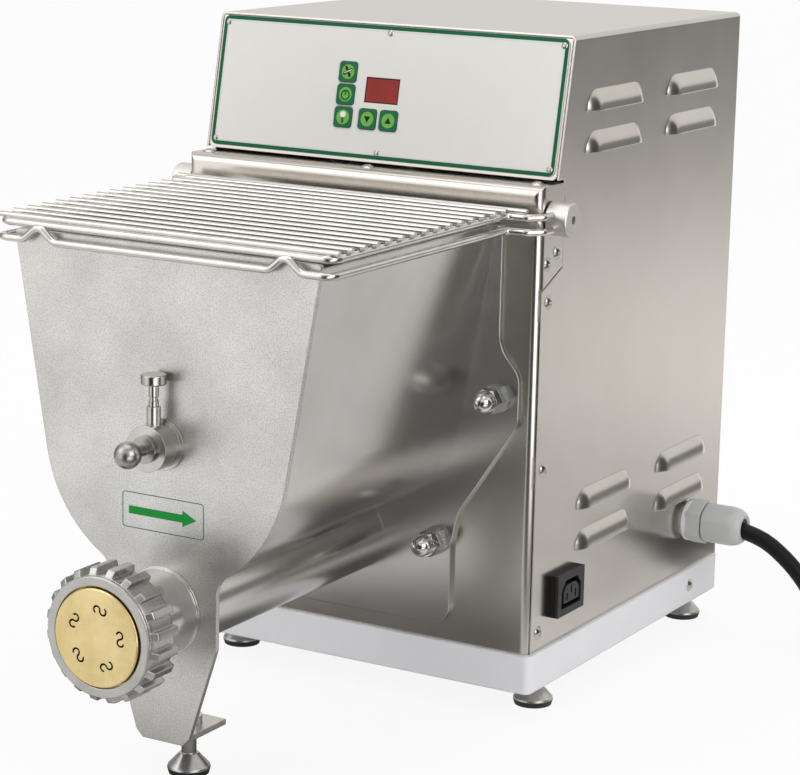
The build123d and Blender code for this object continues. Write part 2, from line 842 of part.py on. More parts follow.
def front():
    blank = box((-half, half), (0, 2 * (ledge_depth + return_reach)), (base_top, ledge_top))
    edges = [e for e in blank.edges().filter_by(Axis.Z) if e.center().Y < 1]
    edges += [e for e in blank.edges().filter_by(Axis.X) if e.center().Y < 1 and e.center().Z > ledge_top - 1]
    blank = fillet(edges, corner_radius)
    core = box((-half + front_sheet, half - front_sheet), (front_sheet, 3 * (ledge_depth + return_reach)),
               (base_bottom, ledge_top - front_sheet))
    edges = [e for e in core.edges().filter_by(Axis.Z) if e.center().Y < front_sheet + 1]
    edges += [e for e in core.edges().filter_by(Axis.X)
              if e.center().Y < front_sheet + 1 and e.center().Z > ledge_top - 3]
    core = fillet(edges, corner_radius - front_sheet)
    face = (blank - core) & side_profile(return_outline(0.0), -half - 1, half + 1)
    for axis in (mixer_axis, auger_axis):
        face -= rod_y(*axis, seal_radius, -1, front_sheet + 1)
    for place in stud_positions():
        face -= rod_y(*place, stud_radius, -1, front_sheet + 1)
    face -= rod_x(hinge_y, hinge_z, bush_radius, -half - 1, half + 1)
    for y, z in cover_screws:
        face += joined(both_sides(box((inner - front_sheet, inner), (front_sheet, y + tab_width),
                                      (z - tab_height / 2, z + tab_height / 2))))
    for y, z in cover_screws + return_screws:
        face -= rod_x(y, z, screw_radius * shank_share, -half - 1, half + 1)
    for x in ledge_screws:
        face -= rod_z(x, ledge_screw_y, ledge_screw_radius * shank_share,
                      ledge_top - screw_length, ledge_top + 1)
    save("front_sheet", face)


def screw_head(radius):
    """A round-head screw, head out along +Z from z = 0, with its shank below and a cross recess."""
    head = Pos(0, 0, -radius * 0.9) * Sphere(radius * 1.35)
    head &= Pos(0, 0, radius) * Cylinder(radius, 2 * radius)
    shank = Pos(0, 0, -screw_length / 2) * Cylinder(radius * shank_share, screw_length)
    slot, deep = radius * cross_width_share, radius * cross_depth_share
    recess = Pos(0, 0, radius) * (Box(radius, slot, deep) + Box(slot, radius, deep))
    return head + shank - recess


# ---------------------------------------------------------------- control panel

panel_centre = (0, (front_line(panel_foot) + front_line(case_top)) / 2, (panel_foot + case_top) / 2)
panel_plane = Plane(origin=panel_centre, x_dir=(1, 0, 0), z_dir=(0, -math.cos(lean), math.sin(lean)))

keys = {"fan": (-24.6, 10.2), "power": (-24.6, -2.6), "extrude": (-24.6, -15.4),
        "down": (-8.6, -15.4), "up": (5.1, -15.4)}


def on_panel(sketch, low, high):
    """A sketch drawn on the panel, from low to high along the panel's outward normal."""
    return panel_plane * (Pos(0, 0, low) * extrude(sketch, high - low, dir=(0, 0, 1)))


def screw_on_panel(place):
    return panel_plane * Pos(place[0], place[1], overlay_thickness) * screw_head(panel_screw_radius)


def head():
    fascia = RectangleRounded(2 * (inner - seam), 2 * panel_half, bend_radius)
    overlay = RectangleRounded(2 * overlay_half_width, 2 * overlay_half_height, overlay_corner)
    for place in keys.values():
        hole = Pos(*place) * RectangleRounded(
            key_size + 2 * key_gap, key_size + 2 * key_gap, key_corner + key_gap)
        fascia -= hole
        overlay -= hole
    window = Pos(*window_place) * Rectangle(window_width, window_height)
    screw_x, screw_v = overlay_half_width - panel_screw_inset[0], overlay_half_height - panel_screw_inset[1]
    screws = [(x, v) for x in (-screw_x, 0, screw_x) for v in (-screw_v, screw_v)]
    for place in screws:
        fascia -= Pos(*place) * Circle(panel_screw_radius * shank_share)
        overlay -= Pos(*place) * Circle(panel_screw_radius * shank_share)
    plate_solid = on_panel(fascia - window, -panel_thickness, 0)
    plate_solid &= box((-half, half), (0, back), (panel_foot, panel_top))
    save("fascia", plate_solid)
    save("overlay", on_panel(overlay - window, 0, overlay_thickness))
    lens = Pos(*window_place) * Rectangle(window_width - 2 * lens_gap, window_height - 2 * lens_gap)
    save("display_window", on_panel(lens, -panel_thickness, overlay_thickness - lens_drop))
    cap = RectangleRounded(key_size, key_size, key_corner)
    flange = RectangleRounded(key_size + 2 * key_over, key_size + 2 * key_over, key_corner)
    flange_top = -panel_thickness - key_gap
    for name, place in keys.items():
        key = on_panel(Pos(*place) * cap, flange_top, overlay_thickness + key_proud)
        key += on_panel(Pos(*place) * flange, flange_top - key_flange_thickness, flange_top)
        save(f"key_{name}", key)

    board_face = -panel_thickness - board_gap
    board = on_panel(Pos(0, board_centre_v) * Rectangle(board_width, board_height),
                     board_face - board_thickness, board_face)
    parts = [board]
    for x in (-1, 1):
        for y in (-1, 1):
            place = Pos(x * (board_width / 2 - board_post_inset),
                        board_centre_v + y * (board_height / 2 - board_post_inset))
            parts.append(on_panel(place * Circle(board_post), board_face, -panel_thickness))
    switch_top = flange_top - key_flange_thickness - key_travel - switch_free
    switch_body = switch_top - switch_button_height
    for place in keys.values():
        parts.append(on_panel(Pos(*place) * Rectangle(switch_size, switch_size), board_face, switch_body)
                     + on_panel(Pos(*place) * Circle(switch_button), switch_body, switch_top))
    parts.append(on_panel(lens, board_face, -panel_thickness - lens_drop))
    board_back = board_face - board_thickness
    parts.append(on_panel(Pos(*transformer_place) * Rectangle(*transformer[:2]), board_back - transformer[2],
                          board_back))
    for place in board_cans:
        parts.append(on_panel(Pos(*place) * Circle(can_radius), board_back - can_height, board_back))
    save("control_board", group(parts))
    return [screw_on_panel(place) for place in screws]


# ---------------------------------------------------------------- bowl

def tangent_side(radius, half_width, top):
    """Where the straight side leaves the round bottom: angle below the horizontal, from the mixer axis."""
    rise = top - mixer_height
    reach = math.hypot(half_width, rise)
    return math.atan2(rise, half_width) - math.acos(radius / reach)


def trough_outline(radius, half_width, top):
    """Round bottom about the mixer axis with straight sides up to the top."""
    angle = tangent_side(radius, half_width, top)
    x, z = radius * math.cos(angle), mixer_height + radius * math.sin(angle)
    bottom = (0, mixer_height - radius)
    with BuildSketch() as outline:
        with BuildLine():
            Line((-half_width, top), (half_width, top))
            Line((half_width, top), (x, z))
            ThreePointArc((x, z), bottom, (-x, z))
            Line((-x, z), (-half_width, top))
        make_face()
    return outline.sketch


def front_plate_outline():
    """The bowl's section grown by the margin, rounded into a neck and a leg that narrows to its foot."""
    radius, top = trough_radius + plate_margin, (trough_half_width + plate_margin, plate_top)
    angle = tangent_side(radius, *top)
    side = polar(mixer_axis, radius, math.degrees(angle))
    # the waist arc touches the round bottom and the neck's edge
    centre_x = neck_half_width + waist_radius
    drop = math.sqrt((radius + waist_radius) ** 2 - centre_x ** 2)
    waist_angle = -math.degrees(math.atan2(drop, centre_x))
    waist = (centre_x, mixer_height - drop)
    on_bottom = polar(mixer_axis, radius, waist_angle)
    on_neck = (neck_half_width, waist[1])
    half_way = polar(waist, waist_radius, (waist_angle + 360) / 2)
    bottom_middle = polar(mixer_axis, radius, (math.degrees(angle) + waist_angle) / 2)
    edges = [Line((0, plate_top), top), Line(top, side), ThreePointArc(side, bottom_middle, on_bottom),
             ThreePointArc(on_bottom, half_way, on_neck), Line(on_neck, (neck_half_width, neck_bottom)),
             Line((neck_half_width, neck_bottom), (leg_half_width, leg_bottom + leg_corner)),
             Line((leg_half_width, leg_bottom + leg_corner), (leg_half_width - leg_corner, leg_bottom)),
             Line((leg_half_width - leg_corner, leg_bottom), (0, leg_bottom))]
    outline = make_face(edges + [mirror(edge, Plane.YZ) for edge in edges])
    hips = [v for v in outline.vertices() if abs(v.Y - neck_bottom) < 0.1]
    outline = fillet(hips, hip_radius)
    tops = [v for v in outline.vertices() if v.Y > plate_top - 1 and abs(v.X) > 1]
    return fillet(tops, plate_corner_radius)


def bowl():
    outline = front_plate_outline()
    outline -= Pos(*auger_axis) * Circle(barrel_radius)
    outline -= Pos(*mixer_axis) * Circle(axle_radius + running)
    front_plate = along_y(outline, -bowl_length, -bowl_length + plate)
    flange_half = leg_half_width - leg_flange_inset
    front_plate += box((-flange_half, flange_half), (-bowl_length, -bowl_length + leg_flange),
                       (leg_bottom, leg_bottom + plate))
    front_plate += rod_z(0, leg_foot_y, foot_stem_radius + foot_boss - 1, leg_bottom,
                         leg_bottom + plate + foot_nut)
    front_plate -= rod_z(0, leg_foot_y, foot_stem_radius + running, 0, leg_bottom + plate + foot_nut + 1)
    save("bowl_front_plate", front_plate)

    outer = trough_outline(trough_radius, trough_half_width, trough_top)
    inside = trough_outline(trough_radius - trough_wall, trough_half_width - trough_wall, trough_top + 0.001)
    barrel_tube = Pos(*auger_axis) * Circle(barrel_radius)
    throat = Pos(0, auger_height + barrel_radius) * Rectangle(2 * throat_half_width, 2 * barrel_radius)
    shell = outer - inside - barrel_tube - throat
    save("bowl_trough", along_y(shell, -bowl_length + plate, -plate))

    bore = Pos(*auger_axis) * Circle(barrel_bore)
    closed = along_y(barrel_tube - bore, -head_start, -bowl_length + plate)
    opened = along_y(barrel_tube - bore - throat, -bowl_length + plate, -plate)
    head_ring = ring_y(*auger_axis, head_radius, barrel_bore, -head_end, -head_start)
    rim = ring_y(*auger_axis, rim_radius, barrel_bore, -bowl_length - rim_proud, -bowl_length)
    save("extrusion_barrel", joined([closed, opened, head_ring, rim]))

    right = [(trough_half_width + plate_margin, trough_top - 1),
             (trough_half_width + plate_margin, lug_z + lug_shoulder),
             (lug_x + lug_edge, lug_z + lug_half), (lug_x + lug_edge, lug_z - lug_half),
             (low_stud_x + low_shoulder[0], low_stud_z + low_shoulder[1]),
             (low_stud_x + low_edge, low_stud_z), (low_stud_x + low_edge, flange_bottom)]
    left = [(-x, z) for x, z in reversed(right)]
    flange = Polygon(*right, *left, align=None)
    for index, radius in enumerate(flange_rounding):
        x, z = right[index]
        near = [v for v in flange.vertices() if abs(abs(v.X) - x) < 0.3 and abs(v.Y - z) < 0.3]
        flange = fillet(near, radius)
    flange -= Pos(*auger_axis) * Circle(seal_radius)
    flange -= Pos(*mixer_axis) * Circle(seal_radius)
    for place in stud_positions():
        flange -= Pos(*place) * Circle(stud_radius)
    save("bowl_flange", along_y(flange, -plate, 0))


def hex_prism(across_flats, height):
    return extrude(RegularPolygon(across_flats / 2, 6, major_radius=False), height)


def bowl_fasteners():
    nuts, studs = [], []
    for x, z in stud_positions():
        to_front = Pos(x, -plate, z) * Rot(90, 0, 0)
        disc = to_front * (Cylinder(washer_radius, washer_thickness, align=at_base)
                           - Cylinder(stud_radius, 3 * washer_thickness))
        lock = to_front * Pos(0, 0, washer_thickness) * (hex_prism(nut_flats, lock_height)
                                                         - Cylinder(stud_radius, 3 * lock_height))
        cap = hex_prism(nut_flats, cap_height) & Cone(nut_flats / 2 + nut_slope, nut_flats / 2, cap_height,
                                                      align=at_base)
        dome = Pos(0, 0, cap_height) * Cylinder(dome_radius, dome_neck, align=at_base)
        dome += Pos(0, 0, cap_height + dome_neck) * (
            Sphere(dome_radius) & Cylinder(2 * dome_radius, 2 * dome_radius, align=at_base))
        cap = cap + dome - Cylinder(stud_radius, 2 * stud_over)
        nuts.append(to_front * Pos(0, 0, nut_seat) * cap)
        studs += [disc, lock, rod_y(x, z, stud_radius, -plate - nut_seat - stud_over, plate_back)]
    save("dome_nuts", group(nuts))
    save("bowl_studs", group(studs))


def axle_parts():
    face = -bowl_length - boss_length
    x, z = mixer_axis
    boss = rod_y(x, z, boss_radius, face, -bowl_length)
    boss += rod_y(x, z, boss_radius + boss_rim, -bowl_length - boss_rim_length, -bowl_length)
    boss -= rod_y(x, z, axle_radius + running, face - 1, 0)
    boss -= rod_z(x, latch_y, latch_radius + running, z, z + boss_radius + 1)
    sleeve = rod_z(x, latch_y, latch_radius + latch_wall, z + boss_radius - latch_sink, latch_sleeve_top)
    sleeve -= rod_z(x, latch_y, latch_radius + running, z, latch_top)
    save("axle_boss", group([boss, sleeve - boss]))
    collar_back = face - collar_gap
    collar_front = collar_back - collar_length
    axle = rod_y(x, z, axle_radius, collar_front, face + axle_reach)
    axle += rod_y(x, z, axle_collar, collar_front, collar_back)
    axle += rod_y(x, z, axle_neck, ball_y, collar_back)
    axle += Pos(x, ball_y, z) * Sphere(ball_radius)
    save("mixer_axle", axle)
    stem = rod_z(x, latch_y, latch_radius, z + axle_radius + latch_gap, latch_top - latch_head)
    stem += Pos(x, latch_y, latch_top - latch_head / 2) * fillet(
        Cylinder(latch_head_radius, latch_head).edges().filter_by(GeomType.CIRCLE), latch_head_edge)
    groove_start = latch_sleeve_top + latch_sink
    groove = ring_z(x, latch_y, latch_radius + 1, latch_radius - latch_groove_depth, groove_start,
                    groove_start + latch_groove)
    save("latch_plunger", stem - groove)


def tang_slot(axis, core):
    """The slot in a screw's or paddle's end that its shaft's flat tang drives."""
    x, z = axis
    return box((x - tang_half - tang_gap, x + tang_half + tang_gap),
               (tang_start - tang_length - tang_gap, screw_rear + 1),
               (z - core + tang_margin - tang_gap, z + core - tang_margin + tang_gap))


def paddle():
    x, z = mixer_axis
    front = -bowl_length + plate + paddle_front_gap
    bar = rod_y(x, z, paddle_core, front, screw_rear)
    pitch = (screw_rear - front - 2 * blade_margin) / blade_count
    for number in range(blade_count):
        y = front + blade_margin + pitch * (number + 0.5)
        blade = Pos(0, 0, blade_reach / 2) * Box(blade_thickness, blade_width, blade_reach)
        blade = fillet(blade.edges().filter_by(Axis.X).group_by(Axis.Z)[-1], blade_corner)
        bar += Pos(x, y, z) * Rot(0, 180 * (number % 2), 0) * Rot(0, 0, blade_angle) * blade
    bar -= rod_y(x, z, axle_radius + running, front - 1, -bowl_length - boss_length + axle_reach + 1)
    bar -= tang_slot(mixer_axis, paddle_core)
    save("kneading_paddle", bar)


def auger():
    x, z = auger_axis
    full = screw_rear + head_end - auger_end
    core = Cylinder(auger_core, full, align=at_base)
    length = full - 2 * flight
    path = Helix(pitch=auger_pitch, height=length, radius=(auger_core + auger_radius) / 2 - 0.5)
    section = Plane(origin=path @ 0, x_dir=(1, 0, 0), z_dir=path % 0) * Rectangle(
        auger_radius - auger_core + 1.0, flight)
    screw = core + Pos(0, 0, flight) * sweep(section, path=path, is_frenet=True)
    screw = Pos(x, screw_rear, z) * Rot(90, 0, 0) * screw
    save("auger_screw", screw - tang_slot(auger_axis, auger_core))


# ---------------------------------------------------------------- die and ring nut

def die_parts():
    x, z = auger_axis
    seat = -head_end
    body = rod_y(x, z, die_radius, seat - die_step, seat)
    face = rod_y(x, z, die_face_radius, -die_front, seat - die_step)
    body += chamfer(face.edges().filter_by(GeomType.CIRCLE).group_by(Axis.Y)[0], die_edge)
    for number in range(die_slots):
        place = Pos(x, z) * Rot(0, 0, 360 / die_slots * number + slot_start) * Pos(slot_circle, 0)
        for side in (1, -1):
            arc = CenterArc((0, 0), slot_bend, -90 * side, slot_sweep)
            hook = place * Pos(0, side * slot_bend) * SlotArc(arc, slot_width)
            body -= along_y(hook, -die_front - 1, seat + 1)
    save("die_plate", body)

    rim_back, channel = -nut_front + rib_start, nut_radius - rib_proud
    ring = rod_y(x, z, nut_radius - rib_over_ring, -nut_front, rim_back)
    ring = chamfer(ring.edges().filter_by(GeomType.CIRCLE).group_by(Axis.Y)[0], nut_edge)
    ring += rod_y(x, z, channel, rim_back, -nut_back)
    rib = Polygon((channel - nut_edge, rim_back), (channel, rim_back),
                  (nut_radius + 1, rim_back + rib_proud + 1),
                  (nut_radius + 1, -nut_back), (channel - nut_edge, -nut_back), align=None)
    rib = Pos(0, 0, -rib_width / 2) * extrude(rib, rib_width, dir=(0, 0, 1))
    for number in range(nut_ribs):
        ring += Pos(x, 0, z) * Rot(0, 360 / nut_ribs * number, 0) * rib
    ring &= rod_y(x, z, nut_radius, -nut_front, -nut_back)
    ring -= rod_y(x, z, nut_bore, seat - die_step, -nut_back + 1)
    ring -= rod_y(x, z, nut_lip_radius, -nut_front - 1, -nut_back)
    save("ring_nut", ring)


# ---------------------------------------------------------------- lid

def lid():
    x, front = lid_half_width, -lid_front
    arm_x, neck_x = knob_inner + arm_in, knob_inner - 2 * wire
    rods = []
    for z, ahead in ((upper_rod, 0.0), (lower_rod, guard_ahead)):
        right = [(arm_x, hinge_y - arm_gap, z), (arm_x, arm_y + 2 * arm_in, z), (neck_x, arm_y, z),
                 (x, arm_y - 1, z), (x, front - ahead, z)]
        left = [(-a, b, c) for a, b, c in reversed(right)]
        middle = bump_points(front - ahead, z) if ahead else []
        radii = arm_radii + (bump_radii * 2 if ahead else []) + arm_radii[::-1]
        rods.append(swept(right + middle + left, radii, rod))
    grille = rods[0] + rods[1]
    wire_z = upper_rod + rod + wire - wire_sink
    for number in range(int((lid_front + arm_y - arm_gap) / wire_pitch) + 1):
        y = front + wire + number * wire_pitch
        grille += rod_x(y, wire_z, wire, -x - wire_over, x + wire_over)
    grille += rod_x(arm_y + wire_sink, wire_z, wire, -neck_x, neck_x)
    knobs = []
    for side in (-1, 1):
        knob = rod_x(hinge_y, hinge_z, knob_radius, *sorted((side * knob_inner, side * knob_outer)))
        rim = knob.edges().filter_by(GeomType.CIRCLE).sort_by(Axis.X)[-1 if side > 0 else 0]
        knob = chamfer(rim, knob_edge)
        floor = side * (knob_outer - knob_cap)
        knob -= rod_x(hinge_y, hinge_z, knob_socket, *sorted((floor, side * (knob_outer + 1))))
        knob -= rod_x(hinge_y, hinge_z, hinge_radius, *sorted((side * (knob_inner - 1), floor)))
        knobs.append(knob)
    grille -= rod_x(hinge_y, hinge_z, hinge_radius, -knob_outer, knob_outer)
    save("lid_grille", grille)
    save("hinge_knobs", group([knob - grille for knob in knobs]))
    shaft = rod_x(hinge_y, hinge_z, hinge_radius, -knob_outer + knob_cap, knob_outer - knob_cap)
    cam = rod_x(hinge_y, hinge_z, cam_radius, cam_start, cam_start + cam_width)
    cam -= box((cam_start - 1, cam_start + cam_width + 1), (hinge_y + cam_flat, hinge_y + 2 * cam_radius),
               (hinge_z - cam_radius, hinge_z + cam_radius))
    save("lid_hinge_shaft", shaft + cam)
    switch_x = (cam_start - 1, cam_start - 1 + switch_width)
    body_start = hinge_y + cam_radius + switch_pin
    switch = box(switch_x, (body_start, hinge_y + switch_back), (hinge_z - switch_half_height,
                                                                 hinge_z + switch_half_height))
    switch += box(switch_x, (hinge_y + cam_radius + switch_gap, body_start + 1),
                  (hinge_z - switch_pin, hinge_z + switch_pin))
    switch += box(switch_x, (body_start, body_start + switch_pin),
                  (hinge_z + switch_half_height, ledge_top - front_sheet))
    save("lid_switch", switch)


def bump_points(y, z):
    rise = upper_rod - lower_rod
    right = [(bump_x + bump_run, y, z), (bump_x, y, z + rise), (bump_x - bump_run, y, z)]
    return right + [(-a, b, c) for a, b, c in reversed(right)]


# ---------------------------------------------------------------- electrics

def clipped_rectangle(half_width, half_height, corner):
    """An upright (y, z) rectangle round the outlet's middle with its upper corners cut off."""
    y, z = outlet_y, outlet_z
    return [(y - half_width, z - half_height), (y + half_width, z - half_height),
            (y + half_width, z + half_height - corner), (y + half_width - corner, z + half_height),
            (y - half_width + corner, z + half_height), (y - half_width, z + half_height - corner)]


def outlet():
    y, z = outlet_y, outlet_z
    face = half + outlet_proud
    bezel = box((half, face), (y - outlet_width / 2, y + outlet_width / 2),
                (z - outlet_height / 2, z + outlet_height / 2))
    bezel += box((half - outlet_depth, half), (y - outlet_body_half_width, y + outlet_body_half_width),
                 (z - outlet_body_half_height, z + outlet_body_half_height))
    outer_y, outer_z = outlet_width / 2 - outlet_groove, outlet_height / 2 - outlet_groove
    groove = [side_profile(clipped_rectangle(outer_y - inset, outer_z - inset, outlet_corner - inset / 2),
                           face - outlet_groove_depth, face + 1) for inset in (0, outlet_groove_width)]
    bezel -= groove[0] - groove[1]
    for dy, dz in outlet_slots:
        bezel -= box((face - slot_depth, face + 1), (y + dy - slot_half_width, y + dy + slot_half_width),
                     (z + dz - slot_half_height, z + dz + slot_half_height))
    save("outlet_socket", bezel)


def gland():
    to_side = Pos(half, gland_y, gland_z) * Rot(0, 90, 0)
    collar_start = gland_washer
    hex_start = collar_start + gland_collar
    neck_start = hex_start + gland_hex_height
    body = Cylinder(gland_washer_radius, gland_washer, align=at_base)
    body += Pos(0, 0, collar_start) * Cylinder(gland_hex + gland_collar_over, gland_collar, align=at_base)
    body += Pos(0, 0, hex_start) * hex_prism(2 * gland_hex, gland_hex_height)
    body += Pos(0, 0, neck_start) * Cylinder(gland_neck, gland_neck_height, align=at_base)
    body += Pos(0, 0, -sheet - gland_tail) * Cylinder(gland_thread, gland_tail + sheet, align=at_base)
    body -= Cylinder(cord_radius, 2 * gland_reach)
    lock = Pos(0, 0, -sheet - gland_lock) * (hex_prism(2 * gland_hex, gland_lock)
                                             - Cylinder(gland_thread, 3 * gland_lock))
    cap_start = neck_start + gland_cap_gap
    dome_start = gland_reach - gland_dome
    cap = Pos(0, 0, cap_start) * Cylinder(gland_hex, dome_start - cap_start, align=at_base)
    cap &= Pos(0, 0, cap_start) * hex_prism(2 * (gland_hex - gland_cap_gap / 2), gland_reach)
    cap += Pos(0, 0, dome_start) * Cone(
        gland_hex - gland_cap_gap / 2, gland_dome_end, gland_dome, align=at_base)
    cap -= Cylinder(gland_neck, 2 * (neck_start + gland_neck_height))
    cap -= Cylinder(cord_radius, 3 * gland_reach)
    cap -= Pos(0, 0, dome_start) * Cone(
        cord_radius, cord_radius + gland_mouth, gland_dome + 0.01, align=at_base)
    save("cable_gland", group([to_side * body, to_side * lock, to_side * cap]))


cord_route = [(half + 14, gland_y, gland_z), (half + 45, gland_y, gland_z), (half + 72, 204.6, 57.0),
              (half + 90, 203.6, 35.5), (half + 107, 202.6, 18.0), (half + 128, 203.0, 8.0),
              (half + 150, 207.0, 5.0)]


def route_radii(points):
    """Each arc is as large as its two runs allow."""
    radii = []
    for a, b, c in zip(points, points[1:], points[2:]):
        first, second = Vector(*b) - Vector(*a), Vector(*c) - Vector(*b)
        turn = math.radians(first.get_angle(second))
        radii.append(0.45 * min(first.length, second.length) / math.tan(turn / 2))
    return radii


def mains_lead():
    radii = route_radii(cord_route)
    print("cord radii", [round(r, 1) for r in radii])
    lead = swept(cord_route, radii, cord_radius)
    path = FilletPolyline(*cord_route, radius=radii)
    print("cord tube length", round(path.length, 1), "volume ratio",
          round(lead.volume / (path.length * math.pi * cord_radius ** 2), 4))

    # the turns lie a diameter apart, inwards on the floor and back outwards on top
    spread = 2 * cord_radius * coil_turns / coil_layers
    outer_turn = coil_radius + spread / 2
    low, high = coil_radius - spread / 2 - cord_radius, outer_turn + cord_radius
    before, landing = cord_route[-2:]
    heading = math.atan2(landing[1] - before[1], landing[0] - before[0])
    x = landing[0] - outer_turn * math.sin(heading)
    y = landing[1] + outer_turn * math.cos(heading)
    height = 2 * cord_radius * coil_layers
    coil = Pos(x, y, height / 2) * (Cylinder(high, height) - Cylinder(low, height))
    coil = fillet(coil.edges().filter_by(GeomType.CIRCLE), cord_radius * 0.9)
    turn = (coil_end - math.degrees(heading) + 90) / 360
    wound = 2 * math.pi * coil_radius * coil_turns
    print("coil centre", round(x, 1), round(y, 1), "part turn", round(turn, 3),
          "length in all", round(path.length + wound + tail_length))

    leave = (x, y + outer_turn, height - cord_radius)
    plug_start = (x - tail_length, y + outer_turn, plug_radius)
    tail_line = Line(leave, plug_start)
    tail = sweep(Plane(origin=leave, z_dir=tail_line % 0) * Circle(cord_radius), path=tail_line)
    body = plug_relief + plug_length
    relief = cord_radius + relief_wall
    profile = Polygon((0, 0), (relief, 0), (relief + relief_flare, plug_relief),
                      (plug_radius - relief_flare, plug_relief + relief_flare),
                      (plug_radius, plug_relief + 3 * relief_flare), (plug_radius, body - relief_wall),
                      (plug_radius - relief_wall, body), (0, body), align=None)
    along = Pos(*plug_start) * Rot(0, -90, 0)
    plug = along * revolve(Plane.XZ * profile, Axis.Z)
    pins = [along * Pos(0, side * pin_spacing / 2, body) * Cylinder(pin_radius, pin_length, align=at_base)
            for side in (-1, 1)]
    save("cord_lead", group([lead, tail]))
    save("cord_coil", coil)
    save("mains_plug", group([plug] + pins))


def fan():
    end = back - sheet
    start = end - fan_depth
    frame = box((-fan_size / 2, fan_size / 2), (start, end), (fan_z - fan_size / 2, fan_z + fan_size / 2))
    frame -= rod_y(0, fan_z, fan_size / 2 - fan_rim, start - 1, end + 1)
    frame += rod_y(0, fan_z, fan_hub + 1, start, start + fan_plate)
    for angle in (45, 135):
        strut = Pos(0, fan_z) * Rot(0, 0, angle) * Rectangle(fan_size - fan_rim, fan_plate)
        frame += along_y(strut, start, start + fan_plate)
    frame += rod_y(0, fan_z, fan_pin, start, end - fan_end - fan_pin)
    save("fan_frame", frame)
    hub = ring_y(0, fan_z, fan_hub, fan_pin + running, start + fan_plate + 1, end - fan_end)
    reach = fan_size / 2 - fan_rim - 1
    for number in range(fan_blades):
        blade = Pos((blade_root + reach) / 2, 0, 0) * Rot(blade_pitch, 0, 0) * Box(
            reach - blade_root, blade_chord, blade_sheet)
        blade = Pos(0, (start + end) / 2, fan_z) * Rot(0, 360 / fan_blades * number, 0) * blade
        hub += blade & ring_y(0, fan_z, reach, blade_root, start + fan_plate + 1, end - fan_rim)
    save("fan_impeller", hub)


def capacitor():
    x, y = capacitor_place
    top = base_bottom + base_wall + capacitor_height
    can = rod_z(x, y, capacitor_radius, base_bottom + base_wall, top)
    for side in (-1, 1):
        can += rod_z(x + side * terminal_spacing / 2, y, terminal_radius, top, top + terminal_height)
    save("run_capacitor", can)


def case_screws(panel_screws):
    screws = []
    for y, z in cover_screws + return_screws:
        screws += both_sides(Pos(half, y, z) * Rot(0, 90, 0) * screw_head(screw_radius))
    screws += both_sides(Pos(half + base_overhang, *base_screw) * Rot(0, 90, 0) * screw_head(screw_radius))
    screws += [Pos(x, ledge_screw_y, ledge_top) * screw_head(ledge_screw_radius) for x in ledge_screws]
    save("case_screws", group(screws + panel_screws))


if __name__ == "__main__":
    os.makedirs("parts", exist_ok=True)
    base()
    feet()
    case()
    front()
    case_screws(head())
    gear_train()
    gearbox()
    drive_shafts()
    motor()
    bowl()
    bowl_fasteners()
    axle_parts()
    paddle()
    auger()
    die_parts()
    lid()
    outlet()
    gland()
    mains_lead()
    fan()
    capacitor()
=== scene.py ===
import json
import math
import bpy
import numpy as np
from mathutils import Matrix, Vector


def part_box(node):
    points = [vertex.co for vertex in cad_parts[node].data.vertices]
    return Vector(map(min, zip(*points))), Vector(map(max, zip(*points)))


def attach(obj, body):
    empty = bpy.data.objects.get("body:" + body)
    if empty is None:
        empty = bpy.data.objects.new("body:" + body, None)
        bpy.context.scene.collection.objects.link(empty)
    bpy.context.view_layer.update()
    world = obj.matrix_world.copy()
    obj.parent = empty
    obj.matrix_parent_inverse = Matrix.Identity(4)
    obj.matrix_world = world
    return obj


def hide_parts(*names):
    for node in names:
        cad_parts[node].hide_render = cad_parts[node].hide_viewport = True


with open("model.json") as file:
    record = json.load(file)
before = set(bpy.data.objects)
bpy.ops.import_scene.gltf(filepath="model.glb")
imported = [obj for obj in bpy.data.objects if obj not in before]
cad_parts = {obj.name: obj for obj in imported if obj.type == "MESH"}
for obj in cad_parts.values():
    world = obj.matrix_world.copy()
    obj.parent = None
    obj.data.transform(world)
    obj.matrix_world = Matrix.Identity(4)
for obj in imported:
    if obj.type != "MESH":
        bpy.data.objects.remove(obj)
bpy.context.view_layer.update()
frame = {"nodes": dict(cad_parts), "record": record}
nodes = frame["nodes"]
mm = 0.001
print("frame loaded", len(nodes), "nodes")


# camera

cameraSettings = {
    "place": (0.7677, -1.2687, 0.5067),
    "azimuth": 30.3,               # degrees, as are the next two
    "elevation": 12.5,
    "roll": 1.2,
    "focalPixels": 2680.3,
    "pictureWidth": 800,
    "sensor": 36.0,
    "clip": (0.05, 30),            # metres
}


def makeCamera(s):
    data = bpy.data.cameras.new("mainCamera")
    data.sensor_width = s["sensor"]
    data.lens = s["sensor"] * s["focalPixels"] / s["pictureWidth"]
    data.clip_start, data.clip_end = s["clip"]
    azimuth, elevation, roll = (math.radians(s[k]) for k in ("azimuth", "elevation", "roll"))
    flat = math.cos(elevation)
    backward = Vector((math.sin(azimuth) * flat, -math.cos(azimuth) * flat, math.sin(elevation)))
    right = (-backward).cross(Vector((0, 0, 1))).normalized()
    up = right.cross(-backward)
    turnedRight = math.cos(roll) * right + math.sin(roll) * up
    turnedUp = math.cos(roll) * up - math.sin(roll) * right
    camera = bpy.data.objects.new("mainCamera", data)
    camera.matrix_world = Matrix.Translation(s["place"]) @ Matrix(
        (turnedRight, turnedUp, backward)).transposed().to_4x4()
    bpy.context.scene.collection.objects.link(camera)
    bpy.context.scene.camera = camera


makeCamera(cameraSettings)
print("camera ready")


# node helpers

def newMaterial(name):
    material = bpy.data.materials.new(name)
    material.use_nodes = True
    tree = material.node_tree
    return material, tree, tree.nodes["Principled BSDF"]


def addNode(tree, kind, **values):
    node = tree.nodes.new(kind)
    for key, value in values.items():
        setattr(node, key, value)
    return node


